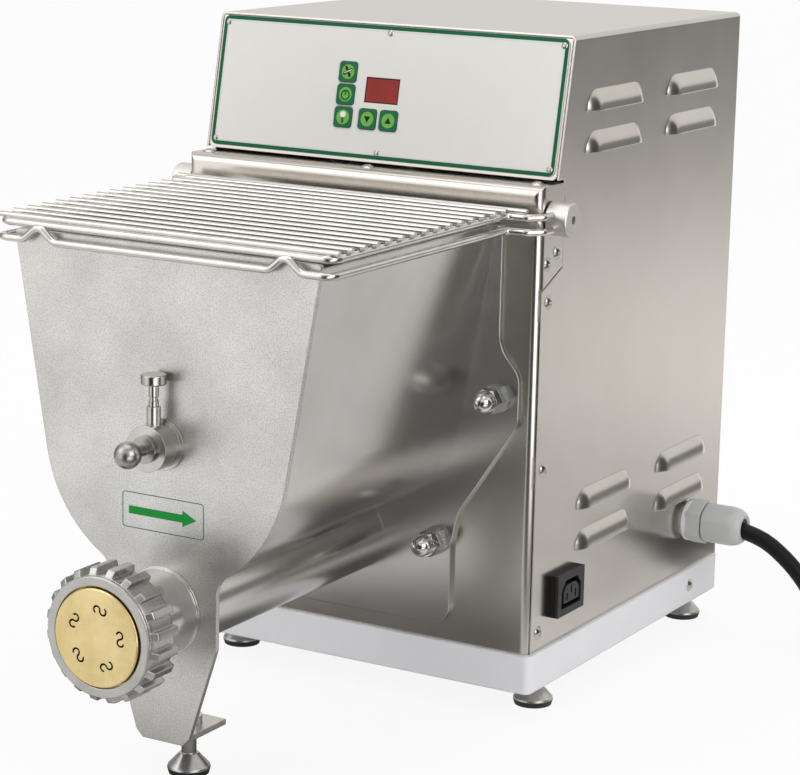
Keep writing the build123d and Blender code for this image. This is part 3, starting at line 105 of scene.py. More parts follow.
def setInputs(node, values):
    for key, value in values.items():
        node.inputs[key].default_value = value


def feed(tree, value, socket):  # a number is set, an output is linked
    if hasattr(value, "node"):
        tree.links.new(value, socket)
    else:
        socket.default_value = value


def mathNode(tree, operation, first, second, clamp=False):
    node = addNode(tree, "ShaderNodeMath", operation=operation, use_clamp=clamp)
    feed(tree, first, node.inputs[0])
    feed(tree, second, node.inputs[1])
    return node.outputs[0]


def vectorNode(tree, operation, *values):
    node = addNode(tree, "ShaderNodeVectorMath", operation=operation)
    for value, socket in zip(values, node.inputs):
        feed(tree, value, socket)
    return node.outputs["Value" if operation in ("DISTANCE", "DOT_PRODUCT", "LENGTH") else "Vector"]


def ramp(tree, source, low, high, fromLow=0.0, fromHigh=1.0, smooth=False):
    node = addNode(tree, "ShaderNodeMapRange", interpolation_type="SMOOTHSTEP" if smooth else "LINEAR")
    setInputs(node, {"From Min": fromLow, "From Max": fromHigh, "To Min": low, "To Max": high})
    tree.links.new(source, node.inputs["Value"])
    return node.outputs["Result"]


# Blender's Mix node has its two numbers at inputs 2 and 3, and its two colours at 6 and 7 with output 2.

def mixValues(tree, factor, first, second):
    node = addNode(tree, "ShaderNodeMix", data_type="FLOAT")
    for value, socket in zip((factor, first, second), node.inputs[:1] + node.inputs[2:4]):
        feed(tree, value, socket)
    return node.outputs[0]


def mixColours(tree, factor, first, second, blend="MIX"):
    node = addNode(tree, "ShaderNodeMix", data_type="RGBA", blend_type=blend)
    feed(tree, factor, node.inputs[0])
    for value, socket in zip((first, second), node.inputs[6:8]):
        feed(tree, value if hasattr(value, "node") else (*value, 1), socket)
    return node.outputs[2]


def mixShaders(tree, factor, first, second):
    node = addNode(tree, "ShaderNodeMixShader")
    for output, socket in zip((factor, first, second), node.inputs):
        tree.links.new(output, socket)
    return node.outputs[0]


def noise(tree, coordinates, scale, detail, roughness):
    node = addNode(tree, "ShaderNodeTexNoise")
    values = {"Vector": coordinates, "Scale": scale, "Detail": detail, "Roughness": roughness}
    for label, value in values.items():
        feed(tree, value, node.inputs[label])
    return node.outputs["Fac"]


def placeOf(tree):  # place on the object, in metres
    return addNode(tree, "ShaderNodeTexCoord").outputs["Object"]


def along(tree, axis):
    parts = addNode(tree, "ShaderNodeSeparateXYZ")
    tree.links.new(placeOf(tree), parts.inputs[0])
    return parts.outputs[axis]


def newGroup(name, inputs, outputs):
    group = bpy.data.node_groups.new(name, "ShaderNodeTree")
    for label, kind in inputs.items():
        group.interface.new_socket(label, in_out="INPUT", socket_type=kind)
    for label in outputs:
        group.interface.new_socket(label, in_out="OUTPUT", socket_type="NodeSocketFloat")
    return group, group.nodes.new("NodeGroupInput"), group.nodes.new("NodeGroupOutput")


# masks and normals that the finishes share

markSettings = {                   # detail and roughness of each mask's noise
    "Cloud": (4.0, 0.62),
    "Grain": (4.0, 0.6),
    "Speck": (2.0, 0.7),
}


def buildSurfaceMarks(s):
    # Masks of a metal or moulded skin: slow clouds, grain drawn out along the sheet, and fine specks.
    group, source, result = newGroup(
        "surfaceMarks", {"Grain Scale": "NodeSocketVector", "Cloud Scale": "NodeSocketFloat",
                         "Speck Scale": "NodeSocketFloat"}, ["Cloud", "Grain", "Speck"])
    place = placeOf(group)
    drawn = vectorNode(group, "MULTIPLY", place, source.outputs["Grain Scale"])
    feed(group, noise(group, drawn, 1.0, *s["Grain"]), result.inputs["Grain"])
    for label in ("Cloud", "Speck"):
        scale = source.outputs[label + " Scale"]
        feed(group, noise(group, place, scale, *s[label]), result.inputs[label])
    return group


rubSettings = {
    "bevelSamples": 4,
    "noise": (160.0, 4.0, 0.5),    # scale, detail and roughness
    "agreement": (0.86, 0.99),     # dot product of the two normals, from full rub and painted highlight to none
    "worn": (0.35, 0.6),           # noise from the least rub and painted highlight to the most
    "least": 0.3,
}


def buildEdgeRubAndHighlight(s):
    # Mask of edges that are partly rubbed and partly a painted edge highlight: how far the rounded normal
    # leaves the face's own, broken up by noise.
    group, source, result = newGroup("edgeRubAndHighlight", {"Radius": "NodeSocketFloat"}, ["Edge"])
    bevel = addNode(group, "ShaderNodeBevel", samples=s["bevelSamples"])
    group.links.new(source.outputs["Radius"], bevel.inputs["Radius"])
    own = addNode(group, "ShaderNodeNewGeometry").outputs["Normal"]
    agreement = vectorNode(group, "DOT_PRODUCT", bevel.outputs["Normal"], own)
    worn = noise(group, placeOf(group), *s["noise"])
    edge = mathNode(group, "MULTIPLY", ramp(group, agreement, 1.0, 0.0, *s["agreement"]),
                    ramp(group, worn, s["least"], 1.0, *s["worn"]))
    group.links.new(edge, result.inputs["Edge"])
    return group


surfaceMarks = buildSurfaceMarks(markSettings)
edgeRubAndHighlight = buildEdgeRubAndHighlight(rubSettings)

normalSettings = {
    "bevelSamples": 6,
    "bumpDistance": 0.1 * mm,
}


def softNormal(tree, radius, height, strength):
    # Edges rounded for light only, with a fine bump on top.
    bevel = addNode(tree, "ShaderNodeBevel", samples=normalSettings["bevelSamples"])
    bevel.inputs["Radius"].default_value = radius
    bump = addNode(tree, "ShaderNodeBump")
    setInputs(bump, {"Strength": strength, "Distance": normalSettings["bumpDistance"]})
    tree.links.new(height, bump.inputs["Height"])
    tree.links.new(bevel.outputs["Normal"], bump.inputs["Normal"])
    return bump.outputs["Normal"]


def marksOf(tree, s):
    # The look's cloud, grain, speck and edge masks.
    marks = addNode(tree, "ShaderNodeGroup", node_tree=surfaceMarks)
    setInputs(marks, {"Grain Scale": s["grain"], "Cloud Scale": s["clouds"], "Speck Scale": s["specks"]})
    rub = addNode(tree, "ShaderNodeGroup", node_tree=edgeRubAndHighlight)
    setInputs(rub, {"Radius": s["edge"]})
    return (*marks.outputs[:3], rub.outputs["Edge"])


# metal finishes

sheetLook = {
    "grain": (260, 260, 1400),     # scales of the three noises
    "clouds": 14.0,
    "specks": 2600.0,
    "dark": (0.600, 0.568, 0.530),
    "light": (0.640, 0.608, 0.570),
    "cloudTone": (0.35, 0.65),     # noise from the dark colour to the light one
    "speckTone": 0.0,              # how much of the speck colour the deepest specks have
    "speckRange": (0.32, 0.55),
    "speckColour": (0.16, 0.155, 0.15),
    # Paler edges: partly rubbing wear, partly a painted edge highlight.
    "rub": 0.25,
    "rubColour": (0.86, 0.85, 0.83),
    "rough": 0.205,
    "grainRough": 0.008,           # how far grain and clouds move the roughness either way
    "cloudRough": 0.012,
    "cloudRange": (0.3, 0.7),
    "speckShare": 0.1,             # height of the specks in the bump, with the grain's as 1
    "bump": 0.004,
    "edge": 0.0008,                # radius of the rounding in metres
}
turnedLook = {**sheetLook, "grain": (900, 900, 900), "clouds": 90.0, "edge": 0.0004, "grainRough": 0.03,
              "rub": 0.4, "rough": 0.24}
smoothLook = {**turnedLook, "grainRough": 0.01, "cloudRough": 0.02, "rub": 0.0, "bump": 0.0}


def steel(name, look, **changes):
    # Two close tones in clouds with darker specks, roughness by grain and clouds, and paler edges that are
    # partly rubbing wear and partly a painted edge highlight.
    s = {**look, **changes}
    material, tree, shader = newMaterial(name)
    cloud, grain, speck, edge = marksOf(tree, s)
    tone = mixColours(tree, ramp(tree, cloud, 0, 1, *s["cloudTone"]), s["dark"], s["light"])
    tone = mixColours(tree, ramp(tree, speck, s["speckTone"], 0, *s["speckRange"]), tone, s["speckColour"])
    # Edges painted paler: partly rubbing wear, partly a painted edge highlight.
    tone = mixColours(tree, mathNode(tree, "MULTIPLY", edge, s["rub"]), tone, s["rubColour"])
    tree.links.new(tone, shader.inputs["Base Color"])
    rough = mathNode(tree, "ADD", ramp(tree, grain, -s["grainRough"], s["grainRough"]),
                     ramp(tree, cloud, -s["cloudRough"], s["cloudRough"], *s["cloudRange"]))
    tree.links.new(mathNode(tree, "ADD", rough, s["rough"], clamp=True), shader.inputs["Roughness"])
    height = mathNode(tree, "ADD", grain, ramp(tree, speck, 0, s["speckShare"]))
    tree.links.new(softNormal(tree, s["edge"], height, s["bump"]), shader.inputs["Normal"])
    setInputs(shader, {"Metallic": 1.0})
    return material


# finishes of paint, plastic, rubber and ink

mouldedLook = {
    "grain": (400, 400, 400),      # scales of the three noises
    "clouds": 60,
    "specks": 2500,
    "lift": 1.12,                  # how much paler the colour is in the clouds
    "cloudTone": (0.3, 0.7),
    "rub": 0.15,
    "rubPale": 0.5,                # how far edges, rubbed and painted as a highlight, go from the colour to white
    "roughSpread": 0.05,           # how far grain moves the roughness either way
    "grainRange": (0.3, 0.7),
    "bump": 0.1,
    "edge": 0.0004,
    "refraction": 1.46,
    "gloss": 0.5,
}
inkLook = {**mouldedLook, "rough": 0.42, "bump": 0.02, "gloss": 0.2, "rub": 0.0}


def moulded(name, look=mouldedLook, **changes):
    # One colour with slight clouds, paler edges (partly rubbing wear, partly a painted edge highlight) and a
    # fine pebbled skin.
    s = {**look, **changes}
    material, tree, shader = newMaterial(name)
    cloud, grain, speck, edge = marksOf(tree, s)
    lighter = tuple(min(1, c * s["lift"]) for c in s["colour"])
    tone = mixColours(tree, ramp(tree, cloud, 0, 1, *s["cloudTone"]), s["colour"], lighter)
    # Edges painted paler: partly rubbing wear, partly a painted edge highlight.
    rubbed = tuple(c + (1 - c) * s["rubPale"] for c in s["colour"])
    tone = mixColours(tree, mathNode(tree, "MULTIPLY", edge, s["rub"]), tone, rubbed)
    tree.links.new(tone, shader.inputs["Base Color"])
    low, high = s["rough"] - s["roughSpread"], s["rough"] + s["roughSpread"]
    tree.links.new(ramp(tree, grain, low, high, *s["grainRange"]), shader.inputs["Roughness"])
    tree.links.new(softNormal(tree, s["edge"], speck, s["bump"]), shader.inputs["Normal"])
    setInputs(shader, {"IOR": s["refraction"], "Specular IOR Level": s["gloss"]})
    return material


materials = {
    "satin_steel": steel("coverSteel", sheetLook),
    "blasted_steel": steel("frontPlateSteel", sheetLook, dark=(0.58, 0.575, 0.565),
                           light=(0.72, 0.715, 0.70), grain=(420, 420, 420), clouds=20.0, specks=1300.0,
                           rough=0.36, grainRough=0.10, cloudRough=0.03, speckShare=1.5, speckTone=0.45,
                           bump=0.20, edge=0.0006),
    "bowl_steel": steel("bowlSteel", sheetLook, dark=(0.58, 0.57, 0.55), light=(0.64, 0.63, 0.61),
                        rough=0.20),
    "turned_steel": steel("turnedSteel", turnedLook, dark=(0.56, 0.55, 0.53), light=(0.64, 0.63, 0.60),
                          rough=0.25),
    "machined_steel": steel("machinedSteel", turnedLook, rough=0.26),
    "gear_steel": steel("gearSteel", turnedLook, dark=(0.36, 0.35, 0.33), light=(0.46, 0.45, 0.43),
                        rough=0.32, edge=0.0003),
    "zinc_steel": steel("zincSteel", turnedLook, dark=(0.56, 0.57, 0.57), light=(0.66, 0.67, 0.67),
                        rough=0.26, edge=0.0003),
    "screw_steel": steel("screwSteel", turnedLook, dark=(0.50, 0.49, 0.47), light=(0.60, 0.59, 0.56),
                         rough=0.12, clouds=200.0, edge=0.0003, rub=0.0, bump=0.0),
    "chrome_trim": steel("polishedNut", turnedLook, dark=(0.62, 0.61, 0.60), light=(0.68, 0.67, 0.66),
                         rough=0.05, grainRough=0.01, cloudRough=0.01, edge=0.0003, rub=0.0, bump=0.0),
    "lid_wire": steel("lidWire", turnedLook, dark=(0.62, 0.60, 0.57), light=(0.70, 0.68, 0.65),
                      rough=0.18, clouds=80.0, edge=0.0003, rub=0.0),
    "ring_alloy": steel("ringAlloy", sheetLook, dark=(0.46, 0.45, 0.44), light=(0.54, 0.53, 0.515),
                        rough=0.29, grain=(500, 500, 500), clouds=60.0, cloudRough=0.05, speckShare=1.2,
                        bump=0.08, edge=0.0009, rub=0.5),
    "die_brass": steel("dieBrass", sheetLook, dark=(0.70, 0.545, 0.255), light=(0.84, 0.69, 0.37),
                       rough=0.30, grain=(60, 900, 2600), clouds=50.0, grainRough=0.08, bump=0.04,
                       edge=0.0004),
    "foot_metal": steel("footMetal", turnedLook, dark=(0.46, 0.45, 0.43), light=(0.58, 0.57, 0.55),
                        rough=0.26, clouds=120.0, edge=0.0005),
    "cast_alloy": steel("castAlloy", sheetLook, grain=(400, 400, 400), rough=0.45, bump=0.3,
                        speckShare=2.0),
    "winding_steel": steel("laminatedSteel", sheetLook, dark=(0.34, 0.30, 0.27), light=(0.44, 0.40, 0.36),
                           grain=(50, 1800, 50), rough=0.4, bump=0.2),
    "white_paint": moulded("whitePaint", colour=(0.77, 0.77, 0.785), rough=0.33, lift=1.02, bump=0.04,
                           edge=0.0015),
    "panel_print": moulded("panelFoil", colour=(0.735, 0.72, 0.68), rough=0.38, lift=1.02, bump=0.03),
    "key_print": moulded("keyGreen", colour=(0.004, 0.115, 0.042), rough=0.36, lift=1.2, bump=0.03,
                         gloss=0.25, rub=0.05),
    "display_red": moulded("displayRed", colour=(0.235, 0.020, 0.016), rough=0.24, lift=1.3, clouds=110,
                           bump=0.01, gloss=0.25),
    "circuit_board": moulded("circuitBoard", colour=(0.02, 0.15, 0.06), rough=0.3),
    "socket_plastic": moulded("socketPlastic", colour=(0.024, 0.023, 0.023), rough=0.42, bump=0.2,
                              gloss=0.3),
    "black_plastic": moulded("blackPlastic", colour=(0.02, 0.02, 0.02), rough=0.5),
    "gland_plastic": moulded("glandPlastic", colour=(0.47, 0.475, 0.47), rough=0.30, bump=0.05,
                             edge=0.0008),
    "cord_rubber": moulded("cordRubber", colour=(0.006, 0.006, 0.006), rough=0.42, bump=0.15, gloss=0.25),
    "seal_rubber": moulded("sealRubber", colour=(0.02, 0.02, 0.02), rough=0.6),
    "capacitor_plastic": moulded("capacitorPlastic", colour=(0.6, 0.6, 0.58), rough=0.3),
}

ownFinish = {                      # nodes whose finish differs from the rest of their slot
    "hinge_knobs": steel("knobSteel", turnedLook, dark=(0.68, 0.66, 0.63), light=(0.76, 0.74, 0.71),
                         rough=0.42, cloudRough=0.04),
    "mixer_axle": steel("axleSteel", smoothLook, dark=(0.34, 0.335, 0.32), light=(0.42, 0.41, 0.395),
                        rough=0.27),
    "latch_plunger": steel("latchSteel", smoothLook, dark=(0.40, 0.39, 0.37), light=(0.48, 0.47, 0.45),
                           rough=0.18),
    "axle_boss": steel("bossSteel", smoothLook, dark=(0.47, 0.46, 0.44), light=(0.55, 0.54, 0.52),
                       rough=0.24),
}

inks = {
    "deepGreen": moulded("deepGreenInk", inkLook, colour=(0.003, 0.100, 0.038), lift=1.15),
    "leafGreen": moulded("leafGreenInk", inkLook, colour=(0.15, 0.43, 0.07), lift=1.1),
    "arrowGreen": moulded("arrowGreenInk", inkLook, colour=(0.006, 0.255, 0.035), lift=1.08),
    "lineGreen": moulded("lineGreenInk", inkLook, colour=(0.04, 0.18, 0.10)),
    "black": moulded("blackInk", inkLook, colour=(0.008, 0.010, 0.006)),
    "white": moulded("whiteInk", inkLook, colour=(0.82, 0.82, 0.78), lift=1.03),
    "brown": moulded("brownInk", inkLook, colour=(0.10, 0.075, 0.045)),
    "windowDark": moulded("windowDark", inkLook, colour=(0.022, 0.005, 0.005)),
    "digitRed": moulded("digitRed", inkLook, colour=(0.30, 0.028, 0.022)),
}

# Where a finish changes along an axis: the place, the width of the change, and the looks on both sides.
# None leaves what the material has there.
asBefore = {"colour": None, "rough": None, "metal": None}
bands = {
    "footRubber": {"slot": "foot_metal", "axis": "Z", "start": 3.1 * mm, "soft": 0.3 * mm,
                   "below": {"colour": (0.018, 0.018, 0.018), "rough": 0.6, "metal": 0.0},
                   "above": {**asBefore, "metal": 1.0}},
    "glandNut": {"slot": "gland_plastic", "axis": "X", "start": 114.2 * mm, "soft": 0.2 * mm,
                 "below": {"colour": (0.26, 0.25, 0.235), "rough": 0.22, "metal": 1.0},
                 "above": {**asBefore, "metal": 0.0}},
    "glandCollar": {"slot": "gland_plastic", "axis": "X", "start": 117.9 * mm, "soft": 0.2 * mm,
                    "below": asBefore,
                    "above": {"colour": (0.74, 0.735, 0.71), "rough": 0.36, "metal": 0.0}},
    "glandCap": {"slot": "gland_plastic", "axis": "X", "start": 120.5 * mm, "soft": 0.2 * mm,
                 "below": asBefore,
                 "above": {"colour": (0.50, 0.505, 0.50), "rough": 0.36, "metal": 0.0}},
    "outletFace": {"slot": "socket_plastic", "axis": "X", "start": 118.4 * mm, "soft": 0.8 * mm,
                   "below": {"colour": (0.005, 0.005, 0.005), "rough": 0.55, "metal": 0.0},
                   "above": {**asBefore, "metal": 0.0}},
}


def restripe(s):
    tree = materials[s["slot"]].node_tree
    shader = tree.nodes["Principled BSDF"]
    mask = ramp(tree, along(tree, s["axis"]), 0, 1, s["start"], s["start"] + s["soft"])
    for key, label, mix in (("colour", "Base Color", mixColours), ("rough", "Roughness", mixValues),
                            ("metal", "Metallic", mixValues)):
        socket = shader.inputs[label]
        old = socket.links[0].from_socket if socket.links else None
        low, high = (old if s[side][key] is None else s[side][key] for side in ("below", "above"))
        tree.links.new(mix(tree, mask, low, high), socket)


for band in bands.values():
    restripe(band)

for part in frame["record"]["subparts"]:
    target = nodes[part["node"]]
    target.data.materials.clear()
    target.data.materials.append(ownFinish.get(part["node"], materials[part["material_slot"]]))
print("materials ready")


# cable

cableSettings = {
    "diameter": 0.010,             # metres, as are the next two
    "length": 1.80,
    "exit": (0.155, 0.1995, 0.0735),
    # Millimetres from here on. The first point lies inside the gland.
    "route": [(129, 199.5, 73.8), (160, 199.5, 73.8), (187, 199.1, 57.0), (205, 198.1, 35.5),
              (222, 197.1, 18.0), (243, 197.5, 8.0), (265, 201.5, 5.0)],
    "coilRadius": 57.0,            # middle of the turns
    "coilTurns": 4.47,
    "coilLayers": 2,
    "pointsPerTurn": 16,
    "crossing": (0.46, 0.08),      # shares of the turns: start and run of the climb to the upper layer
    "tailLength": 22.0,
    "tailBend": (0.5, 1, 0.4),     # shares of the way to the plug where the tail bends
    "plugRadius": 18.5,
    "plugReach": 12.0,             # how far the cable goes into the plug
    "roundSteps": 5,
    "lengthSteps": 6,
    "order": 3,
}


def cablePoints(s):
    # The free route, then turns one diameter apart: inwards on the floor, outwards on top, then the tail.
    route = [np.array(p, float) for p in s["route"]]
    thick = s["diameter"] / mm
    ahead = route[-1] - route[-2]
    heading = math.atan2(ahead[1], ahead[0])
    spread = thick * s["coilTurns"] / s["coilLayers"]
    outer = s["coilRadius"] + spread / 2
    centre = route[-1][:2] + outer * np.array([-math.sin(heading), math.cos(heading)])
    count = int(s["coilTurns"] * s["pointsPerTurn"])
    share = np.arange(1, count + 1) / count
    angle = heading - math.pi / 2 + 2 * math.pi * s["coilTurns"] * share
    radius = outer - spread * (1 - np.abs(2 * share - 1))
    start, run = s["crossing"]
    climb = np.clip((share - start) / run, 0, 1)
    height = thick / 2 + thick * climb * climb * (3 - 2 * climb)
    coil = np.stack([centre[0] + radius * np.cos(angle), centre[1] + radius * np.sin(angle), height], 1)
    leave, plug = coil[-1], np.array([coil[-1][0] - s["tailLength"], coil[-1][1], s["plugRadius"]])
    tail = [leave + (plug - leave) * s["tailBend"], plug, plug - (s["plugReach"], 0, 0)]
    return np.array(route + list(coil) + tail) * mm


def makeCable(s):
    points = cablePoints(s)
    curve = bpy.data.curves.new("mainsCable", "CURVE")
    curve.dimensions = "3D"
    curve.bevel_depth = s["diameter"] / 2
    curve.bevel_resolution = s["roundSteps"]
    curve.use_fill_caps = True
    curve.resolution_u = s["lengthSteps"]
    spline = curve.splines.new("NURBS")
    spline.points.add(len(points) - 1)
    spline.points.foreach_set("co", np.column_stack([points, np.ones(len(points))]).ravel())
    spline.order_u = s["order"]
    spline.use_endpoint_u = True
    curve.materials.append(materials["cord_rubber"])
    cable = bpy.data.objects.new("mainsCable", curve)
    cable.visible_glossy = False
    bpy.context.scene.collection.objects.link(cable)
    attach(cable, "root")
    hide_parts("cord_lead", "cord_coil")


makeCable(cableSettings)
print("cable ready")


# mesh helpers

def gridFaces(rows, columns):
    # Quads of a grid whose columns close round, one row after the other.
    i, j = np.meshgrid(np.arange(rows - 1), np.arange(columns), indexing="ij")
    after = (j + 1) % columns
    return np.stack([i * columns + j, i * columns + after, (i + 1) * columns + after, (i + 1) * columns + j],
                    -1).reshape(-1, 4)


def ringFaces(rows, columns):
    # The same grid with its last row joined to the first.
    first = np.arange(columns)
    after = (first + 1) % columns
    last = (rows - 1) * columns
    closing = np.stack([last + first, last + after, after, first], -1)
    return np.concatenate([gridFaces(rows, columns), closing])


def pieceFrom(name, points, faces, material, body, smooth=False):
    mesh = bpy.data.meshes.new(name)
    mesh.from_pydata(np.asarray(points, float).tolist(), [], [list(map(int, face)) for face in faces])
    mesh.update()
    mesh.polygons.foreach_set("use_smooth", [smooth] * len(mesh.polygons))
    mesh.materials.append(material)
    piece = bpy.data.objects.new(name, mesh)
    bpy.context.scene.collection.objects.link(piece)
    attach(piece, body)
    return piece


# cable gland's rounded end: a dome over the cap's end whose sides are cut by the cap's six flats

domeSettings = {
    "start": 0.1436,               # metres along X, and the axis along Y and Z
    "axis": (0.1995, 0.0738),
    "straight": 1.6,               # millimetres from here on
    "length": 10.0,
    "radius": 12.06,
    "nose": 6.9,
    "hole": 5.6,
    "holeDepth": 0.8,
    "flats": 6,
    "flat": 11.54,
    "arcPoints": 14,
    "columns": 96,
}


def makeGlandDome(s):
    # Point (station i, angle t) lies at axis + r (cos t, sin t), with r the smaller of two: the dome's
    # radius, which falls as a quarter ellipse from the full radius to the nose, and the flat's distance over
    # the cosine of the angle from the flat's middle.
    rise = np.linspace(0, math.pi / 2, s["arcPoints"])
    end = s["straight"] + s["length"]
    ahead = np.concatenate([[0], s["straight"] + s["length"] * np.sin(rise), [end - s["holeDepth"]]])
    arc = s["nose"] + (s["radius"] - s["nose"]) * np.cos(rise)
    dome = np.concatenate([[s["radius"]], arc, [s["hole"]]])
    turn = np.arange(s["columns"]) * 2 * math.pi / s["columns"]
    half = math.pi / s["flats"]
    fromFlat = (turn + half) % (2 * half) - half
    radius = np.minimum(dome[:, None], s["flat"] / np.cos(fromFlat))
    points = np.stack([s["start"] + mm * ahead[:, None] + 0 * radius,
                       s["axis"][0] + mm * radius * np.cos(turn),
                       s["axis"][1] + mm * radius * np.sin(turn)], -1).reshape(-1, 3)
    pieceFrom("glandDome", points, gridFaces(len(ahead), len(turn)), materials["gland_plastic"], "root",
              smooth=True)


makeGlandDome(domeSettings)


# ring nut

nutSettings = {
    "ribs": 20,
    "axis": (0.0, 0.095),          # metres along X and Z, and the front face along Y
    "face": -0.247,
    # Millimetres behind the face, and the radius there in a channel and on a rib.
    "stations": [(0, 26.4, 26.4), (0, 30.8, 30.8), (0.5, 31.3, 31.3), (2.1, 31.3, 31.3),
                 (2.2, 31.5, 31.9), (4.0, 31.7, 34.7), (4.8, 31.7, 35.0), (20.3, 31.7, 35.0),
                 (21, 31.4, 34.4), (21, 30.5, 30.5), (5.5, 30.5, 30.5), (5.5, 26.4, 26.4)],
    # Places across one rib's pitch, and how far the radius goes there from channel to rib.
    "shares": [(0.0, 0), (0.13, 0), (0.25, 0), (0.30, 1), (0.42, 1), (0.55, 1), (0.67, 1), (0.72, 0),
               (0.86, 0)],
}


def makeRingNut(s):
    # A ring swept round the axis: point (station i, angle t) is axis + r (cos t, sin t) at face + back,
    # where r runs from the station's channel radius to its rib radius by the share at t.
    back, channel, rib = mm * np.array(s["stations"], float).T
    place, share = np.array(s["shares"], float).T
    turn = (np.arange(s["ribs"])[:, None] + place).ravel() * 2 * math.pi / s["ribs"]
    radius = channel[:, None] + (rib - channel)[:, None] * np.tile(share, s["ribs"])
    points = np.stack([s["axis"][0] + radius * np.cos(turn), s["face"] + back[:, None] + 0 * radius,
                       s["axis"][1] + radius * np.sin(turn)], -1).reshape(-1, 3)
    faces = ringFaces(len(back), len(turn))[:, ::-1]
    nut = pieceFrom("ringNut", points, faces, materials["ring_alloy"], "ring")
    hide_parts("ring_nut")


makeRingNut(nutSettings)
print("gland end and ring nut ready")


# printed pieces: thin raised prints on a plane, which is given by its middle and three directions

printSettings = {                  # shares of a print's thickness
    "wall": 0.6,                   # how far the sides stand straight
    "drawnIn": 0.4,                # how far the top edge is drawn in
}


def onPlane(plane, flat, height):
    # Points of a plane from right, up and outward distances in millimetres.
    flat = np.asarray(flat, float)
    return (np.array(plane["middle"]) + mm * (flat[:, :1] * plane["right"] + flat[:, 1:2] * plane["up"]
            + np.broadcast_to(height, len(flat))[:, None] * plane["outward"]))


def roundedOutline(width, height, radius, perCorner=7):
    # A box with quarter circles at its corners, anticlockwise: corner middle plus radius times direction.
    turn = np.linspace(0, math.pi / 2, perCorner)
    corners = [(1, 1, 0), (-1, 1, 1), (-1, -1, 2), (1, -1, 3)]
    parts = [np.stack([x * (width / 2 - radius) + radius * np.cos(turn + quarter * math.pi / 2),
                       y * (height / 2 - radius) + radius * np.sin(turn + quarter * math.pi / 2)], 1)
             for x, y, quarter in corners]
    return np.concatenate(parts)


def smallOutline(width, height, radius):
    return roundedOutline(width, height, radius, perCorner=3)


def circleOutline(radius, count=32):
    turn = np.arange(count) * 2 * math.pi / count
    return radius * np.stack([np.cos(turn), np.sin(turn)], 1)


def fanOutline(reach, hub, sharpness=1.6, count=48):
    # Four blades: the radius swells from the hub to the reach four times in a turn.
    turn = np.arange(count) * 2 * math.pi / count
    radius = hub + (reach - hub) * np.abs(np.cos(2 * turn)) ** sharpness
    return np.stack([radius * np.cos(turn), radius * np.sin(turn)], 1)


def pressedPrint(name, plane, outline, at, base, thickness, ink, body, turn=0.0):
    # The outline raised by the thickness, its top edge drawn in a little, closed above and below.
    c, q = math.cos(math.radians(turn)), math.sin(math.radians(turn))
    flat = np.asarray(outline, float) @ np.array([[c, q], [-q, c]])
    middle = flat.mean(0)
    reach = np.abs(flat - middle).max()
    inset = middle + (flat - middle) * (1 - printSettings["drawnIn"] * thickness / reach)
    rows = [(flat, base), (flat, base + thickness * printSettings["wall"]), (inset, base + thickness)]
    points = np.concatenate([onPlane(plane, row + at, height) for row, height in rows])
    count = len(flat)
    faces = [*gridFaces(len(rows), count), np.arange(2 * count, 3 * count), np.arange(count)[::-1]]
    return pieceFrom(name, points, faces, inks[ink], body)


def printedLine(name, plane, outer, inner, at, base, thickness, ink, body):
    # A line round a closed shape: outer edge up, over the top, down the inner edge and back underneath.
    rows = [(outer, base), (outer, base + thickness), (inner, base + thickness), (inner, base)]
    points = np.concatenate([onPlane(plane, np.asarray(row) + at, height) for row, height in rows])
    return pieceFrom(name, points, ringFaces(len(rows), len(outer)), inks[ink], body)


# control panel

panelSettings = {
    "lean": 11.31,                 # degrees from upright
    "thickness": 1.0,              # millimetres from here on
    "borderInset": 0.15,           # foil's edge to the green border
    "borderWidth": 2.2,
    "borderCorner": 3.6,
    "leastCorner": 0.6,
    "borderRaise": 0.08,
    "innerGap": 0.5,
    "innerWidth": 0.35,
    "keys": {"fan": (-24.6, 10.2), "power": (-24.6, -2.6), "extrude": (-24.6, -15.4),
             "down": (-8.6, -15.4), "up": (5.1, -15.4)},
    "keySize": 11.5,
    "keyCorner": 1.8,
    "keyProud": 0.5,
    "discRadius": 4.2,
    "inkRaise": 0.06,
    "haloWidth": 0.55,
    "haloGap": 0.35,
    "window": (-1.3, 1.1),
    "windowSize": (22.0, 14.4),
    "windowDrop": 0.3,
    "framePlay": 0.1,              # gap between the window's edge and its frame
    "frameWidth": 0.6,
    "frameCorner": 0.3,
    "digitPlaces": (-4.6, 4.6),
    "digitSize": (5.2, 9.4),
    "digitRaise": 0.03,
    "segmentWidth": 1.0,
    "segmentCorner": 0.45,         # share of a segment's width
}

# Generic pictograms: the pieces of each key's sign, with their places on the key in millimetres, their
# turns in degrees and their layers above the lowest.
arrowUp = np.array([(-2.1, -1.6), (2.1, -1.6), (0, 2.0)])
signs = {
    "fan": [{"label": "Blades", "shape": fanOutline(3.5, 0.7), "at": (0, 0.2), "ink": "black", "turn": 30},
            {"label": "Gleam", "shape": smallOutline(5.6, 0.55, 0.25), "at": (0.2, 0.3), "ink": "white",
             "turn": 24, "layer": 1}],
    "power": [{"label": "Ring", "shape": circleOutline(3.0), "hole": circleOutline(2.1), "at": (0, -0.3),
               "ink": "deepGreen"},
              {"label": "Bar", "shape": smallOutline(0.8, 2.6, 0.38), "at": (0, 0.9), "ink": "deepGreen",
               "layer": 1}],
    "extrude": [{"label": "Bulb", "shape": circleOutline(1.9), "at": (0, 1.5), "ink": "white"},
                {"label": "Stem", "shape": smallOutline(1.5, 3.4, 0.5), "at": (0, -1.7), "ink": "brown",
                 "layer": 1}],
    "down": [{"label": "Arrow", "shape": -arrowUp, "at": (0, 0), "ink": "black"}],
    "up": [{"label": "Arrow", "shape": arrowUp, "at": (0, 0), "ink": "black"}],
}


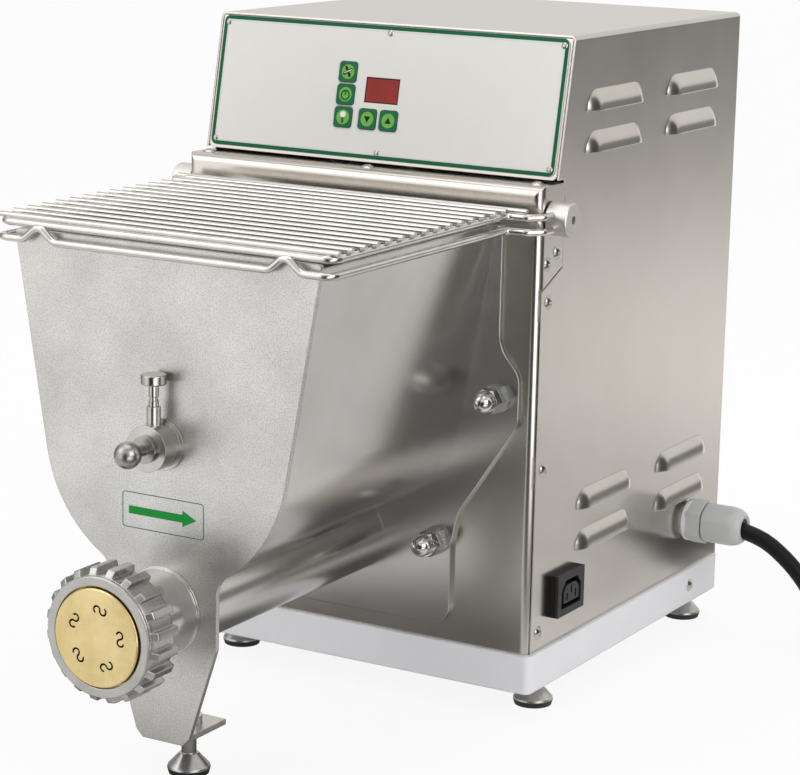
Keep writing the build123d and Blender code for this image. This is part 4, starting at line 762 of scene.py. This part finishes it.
def panelPlane(s):
    low, high = (np.array(corner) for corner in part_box("overlay"))
    lean = math.radians(s["lean"])
    outward = np.array([0, -math.cos(lean), math.sin(lean)])
    middle = (low + high) / 2 + outward * s["thickness"] * mm / 2
    wide, tall = (high[0] - low[0]) / mm, (high[2] - low[2]) / mm / math.cos(lean)
    return {"middle": middle, "right": np.array([1.0, 0, 0]), "outward": outward,
            "up": np.array([0, math.sin(lean), math.cos(lean)]),
            "size": (wide, tall - s["thickness"] * math.tan(lean))}


def makeBorder(plane, s):
    width, height = (side - 2 * s["borderInset"] for side in plane["size"])
    lines = [(0, s["borderWidth"], "panelBorder", "deepGreen"),
             (s["borderWidth"] + s["innerGap"], s["innerWidth"], "panelInnerLine", "white")]
    for start, line, name, colour in lines:
        outer, inner = (roundedOutline(width - 2 * inset, height - 2 * inset,
                                       max(s["borderCorner"] - inset, s["leastCorner"]))
                        for inset in (start, start + line))
        printedLine(name, plane, outer, inner, (0, 0), 0, s["borderRaise"], colour, "root")


def makeWindow(plane, s):
    outer, inner = (smallOutline(*(side - 2 * inset for side in s["windowSize"]), s["frameCorner"])
                    for inset in (s["framePlay"], s["framePlay"] + s["frameWidth"]))
    printedLine("windowFrame", plane, outer, inner, s["window"], -s["windowDrop"], s["inkRaise"],
                "windowDark", "root")
    wide, tall = s["digitSize"]
    bar, corner = s["segmentWidth"], s["segmentWidth"] * s["segmentCorner"]
    lying, standing = smallOutline(wide - bar, bar, corner), smallOutline(bar, tall / 2 - bar, corner)
    segments = [(lying, 0, tall / 2), (lying, 0, 0), (lying, 0, -tall / 2)]
    segments += [(standing, x * wide / 2, y * tall / 4) for x in (-1, 1) for y in (-1, 1)]
    for number, place in enumerate(s["digitPlaces"]):
        for index, (outline, x, y) in enumerate(segments):
            at = np.array(s["window"]) + (place + x, y)
            pressedPrint(f"digit{number}Segment{index}", plane, outline, at, -s["windowDrop"],
                         s["digitRaise"], "digitRed", "root")


def makeKeyPrint(key, plane, at, s):
    # The disc, then the sign on it, each piece one print's thickness above the layer below.
    body, raiseBy = "key_" + key, s["inkRaise"]
    pressedPrint(key + "Disc", plane, circleOutline(s["discRadius"]), at, s["keyProud"], raiseBy,
                 "leafGreen", body)
    for sign in signs[key]:
        name, place = key + sign["label"], np.array(at) + sign["at"]
        base = s["keyProud"] + raiseBy * (1 + sign.get("layer", 0))
        if "hole" in sign:
            printedLine(name, plane, sign["shape"], sign["hole"], place, base, raiseBy, sign["ink"], body)
        else:
            pressedPrint(name, plane, sign["shape"], place, base, raiseBy, sign["ink"], body,
                         sign.get("turn", 0))


def makeKeys(plane, s):
    inner = s["keySize"] + 2 * s["haloGap"]
    outer = inner + 2 * s["haloWidth"]
    for key, at in s["keys"].items():
        makeKeyPrint(key, plane, at, s)
        printedLine(key + "Surround", plane, roundedOutline(outer, outer, s["keyCorner"] + s["haloWidth"]),
                    roundedOutline(inner, inner, s["keyCorner"]), at, 0, s["inkRaise"], "white", "root")


panel = panelPlane(panelSettings)
makeBorder(panel, panelSettings)
makeWindow(panel, panelSettings)
makeKeys(panel, panelSettings)
print("control panel ready")


# label on the front plate

labelSettings = {
    "middle": (0.0, 145.5),        # millimetres across and up, on the plate's outer face
    "size": (50.6, 19.0),
    "corner": 1.8,
    "line": 0.45,
    "raise": 0.08,
    "arrowStart": -0.42,           # shares of the label's width and height
    "headStart": 0.24,
    "arrowEnd": 0.41,
    "shaft": 0.22,
    "head": 0.46,
}


def makeLabel(s):
    low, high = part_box("bowl_front_plate")
    plane = {"middle": np.array([0, low[1], 0]), "right": np.array([1.0, 0, 0]),
             "up": np.array([0, 0, 1.0]), "outward": np.array([0, -1.0, 0])}
    wide, tall = s["size"]
    outer, inner = (roundedOutline(wide - 2 * inset, tall - 2 * inset, s["corner"] - inset)
                    for inset in (0, s["line"]))
    printedLine("labelOutline", plane, outer, inner, s["middle"], 0, s["raise"], "lineGreen", "root")
    x0, x1, x2 = (wide * s[k] for k in ("arrowStart", "headStart", "arrowEnd"))
    shaft, head = tall * s["shaft"] / 2, tall * s["head"] / 2
    arrow = [(x0, -shaft), (x1, -shaft), (x1, -head), (x2, 0), (x1, head), (x1, shaft), (x0, shaft)]
    pressedPrint("labelArrow", plane, arrow, s["middle"], 0, s["raise"], "arrowGreen", "root")


makeLabel(labelSettings)
print("label ready")


# stage

stageSettings = {
    "reach": 6.0,                  # metres, as are all distances here
    "wall": 3.2,
    "bend": 1.2,
    "bendPoints": 24,
    "floor": (0.90, 0.90, 0.90),
    "rough": 0.9,
    "gloss": 0.1,
    "ownLight": 0.89,              # share of plain white that the camera sees
    "mirrored": (0.25, 1.05),      # distance over which gloss goes from the floor to the room
    "mirroredShare": 0.65,
    "mirroredBright": (0.84, 0.83, 0.81),
    "mirroredDim": (0.15, 0.148, 0.145),
    # Where gloss sees the floor dim, one of the places being a painted shadow under the bowl: by the
    # distance from a place or along a direction, the share of dimness goes from the first value to the
    # second over the distances given.
    "dim": {
        # Painted shadow of the bowl on the floor, seen only in reflections.
        "paintedShadowUnderBowl": {"measure": "DISTANCE", "from": (-0.04, -0.11, 0.0), "share": (1, 0),
                      "over": (0.08, 0.19)},
        "frontRight": {"measure": "DOT_PRODUCT", "from": (0.8, -0.6, 0.0), "share": (0, 1),
                       "over": (0.18, 0.34)},
        "besideCase": {"measure": "DISTANCE", "from": (0.40, 0.70, 0.0), "share": (0.4, 0),
                       "over": (0.12, 0.48)},
    },
}


def stageMesh(s):
    # Floor that bends up into a wall behind: a profile along Y carried along X.
    turn = np.linspace(0, math.pi / 2, s["bendPoints"])
    y = np.concatenate([[-s["reach"]], s["wall"] - s["bend"] + s["bend"] * np.sin(turn), [s["wall"]]])
    z = np.concatenate([[0], s["bend"] * (1 - np.cos(turn)), [s["reach"]]])
    count = len(y)
    points = np.stack([np.repeat([-s["reach"], s["reach"]], count), np.tile(y, 2), np.tile(z, 2)], 1)
    step = np.arange(count - 1)
    faces = np.stack([step, count + step, count + step + 1, step + 1], 1)
    mesh = bpy.data.meshes.new("stage")
    mesh.from_pydata(points.tolist(), [], faces.tolist())
    mesh.polygons.foreach_set("use_smooth", [True] * len(mesh.polygons))
    return mesh


def stageMaterial(s):
    # Near white for the camera. Gloss sees it bright with dim places, among them a painted shadow under the
    # bowl, and far off sees the room instead.
    material, tree, shader = newMaterial("stagePaper")
    setInputs(shader, {"Roughness": s["rough"], "Specular IOR Level": s["gloss"]})
    path = addNode(tree, "ShaderNodeLightPath")
    glossy = path.outputs["Is Glossy Ray"]
    place = placeOf(tree)
    dim = 0.0
    for spot in s["dim"].values():
        distance = vectorNode(tree, spot["measure"], place, spot["from"])
        mask = ramp(tree, distance, *spot["share"], *spot["over"], smooth=True)
        dim = mathNode(tree, "MAXIMUM", dim, mask)
    mirrored = mixColours(tree, dim, s["mirroredBright"], s["mirroredDim"])
    tree.links.new(mixColours(tree, glossy, s["floor"], mirrored), shader.inputs["Base Color"])
    emission = addNode(tree, "ShaderNodeEmission")
    tree.links.new(mixColours(tree, glossy, (1, 1, 1), mirrored), emission.inputs["Color"])
    share = mathNode(tree, "ADD", mathNode(tree, "MULTIPLY", path.outputs["Is Camera Ray"], s["ownLight"]),
                     mathNode(tree, "MULTIPLY", glossy, s["mirroredShare"]))
    paper = mixShaders(tree, share, shader.outputs[0], emission.outputs[0])
    beyond = ramp(tree, vectorNode(tree, "LENGTH", place), 0, 1, *s["mirrored"], smooth=True)
    clear = addNode(tree, "ShaderNodeBsdfTransparent").outputs[0]
    seen = mixShaders(tree, mathNode(tree, "MULTIPLY", beyond, glossy), paper, clear)
    tree.links.new(seen, tree.nodes["Material Output"].inputs["Surface"])
    return material


def makeStage(s):
    mesh = stageMesh(s)
    mesh.materials.append(stageMaterial(s))
    stage = bpy.data.objects.new("stage", mesh)
    bpy.context.scene.collection.objects.link(stage)


makeStage(stageSettings)


# room

roomSettings = {
    "diffuse": (0.74, 0.74, 0.75),
    "plain": (0.865, 0.85, 0.83),
    # What gloss sees: the plain colour with soft cards, each by its direction from the machine in degrees
    # (round from the front towards the right, and up), its half width, its soft rim, how much it is drawn
    # out upwards, and its level. The plain colour has level 1.
    "cards": {
        "frontFloor": {"round": -30, "up": -50, "wide": 22, "soft": 26, "tall": 1.0, "level": 0.50},
        "frontWall": {"round": -30, "up": 0, "wide": 14, "soft": 15, "tall": 1.0, "level": 1.50},
        "rightWall": {"round": 108, "up": 0, "wide": 20, "soft": 12, "tall": 1.4, "level": 0.10},
        "cameraSide": {"round": 18, "up": -6, "wide": 18, "soft": 12, "tall": 1.5, "level": 0.06},
        "rightStrip": {"round": 52, "up": -20, "wide": 13, "soft": 9, "tall": 1.0, "level": 3.2},
        "backRight": {"round": 150, "up": -26, "wide": 11, "soft": 6, "tall": 1.0, "level": 0.50},
        "backFloor": {"round": 172, "up": -14, "wide": 14, "soft": 9, "tall": 1.0, "level": 1.3},
        "backHorizon": {"round": 148, "up": -1, "wide": 15, "soft": 12, "tall": 0.34, "level": 0.28},
        "backWall": {"round": 208, "up": 8, "wide": 18, "soft": 16, "tall": 1.0, "level": 0.94},
        "leftWall": {"round": -100, "up": 4, "wide": 12, "soft": 20, "tall": 1.4, "level": 0.35},
        "ceiling": {"round": 0, "up": 90, "wide": 20, "soft": 30, "tall": 1.0, "level": 0.70},
    },
}


def roomCard(tree, direction, card):
    # Soft mask: the angle between the direction and the card's own, read from their dot product.
    turn, rise = math.radians(card["round"]), math.radians(card["up"])
    toward = Vector((math.sin(turn) * math.cos(rise), -math.cos(turn) * math.cos(rise),
                     math.sin(rise) / card["tall"])).normalized()
    squeezed = vectorNode(tree, "MULTIPLY", direction, (1, 1, 1 / card["tall"]))
    near = vectorNode(tree, "DOT_PRODUCT", vectorNode(tree, "NORMALIZE", squeezed), toward)
    outer, inner = math.cos(math.radians(card["wide"] + card["soft"])), math.cos(math.radians(card["wide"]))
    return ramp(tree, near, 0, 1, outer, inner, smooth=True)


def makeRoom(s):
    world = bpy.data.worlds.new("studioRoom")
    world.use_nodes = True
    world.cycles.sampling_method = "NONE"
    tree = world.node_tree
    direction = addNode(tree, "ShaderNodeTexCoord").outputs["Generated"]
    level = 1.0
    for card in s["cards"].values():
        level = mixValues(tree, roomCard(tree, direction, card), level, card["level"])
    gloss = mixColours(tree, 1.0, s["plain"], level, blend="MULTIPLY")
    path = addNode(tree, "ShaderNodeLightPath")
    seen = mathNode(tree, "MAXIMUM", path.outputs["Is Glossy Ray"], path.outputs["Is Transmission Ray"])
    colour = mixColours(tree, seen, s["diffuse"], gloss)
    colour = mixColours(tree, path.outputs["Is Camera Ray"], colour, (1, 1, 1))
    tree.links.new(colour, tree.nodes["Background"].inputs["Color"])
    bpy.context.scene.world = world


makeRoom(roomSettings)


# lamps

lampSettings = {
    "lamps": [
        {"name": "keyLamp", "place": (-1.4, -1.7, 1.9), "size": (1.8, 1.8), "power": 12},
        {"name": "rightLamp", "place": (2.3, -0.9, 1.3), "size": (1.6, 1.6), "power": 17},
        {"name": "topLamp", "place": (-0.2, -0.1, 2.6), "size": (2.0, 2.0), "power": 14},
    ],
    "target": (0, 0, 0.18),
}


def makeLamps(s):
    for lamp in s["lamps"]:
        data = bpy.data.lights.new(lamp["name"], "AREA")
        data.shape = "RECTANGLE"
        data.size, data.size_y = lamp["size"]
        data.energy = lamp["power"]
        light = bpy.data.objects.new(lamp["name"], data)
        light.location = lamp["place"]
        light.rotation_euler = (Vector(s["target"]) - light.location).to_track_quat("-Z", "Y").to_euler()
        bpy.context.scene.collection.objects.link(light)


makeLamps(lampSettings)
bpy.context.scene.view_settings.view_transform = "Standard"
print("stage and light ready")
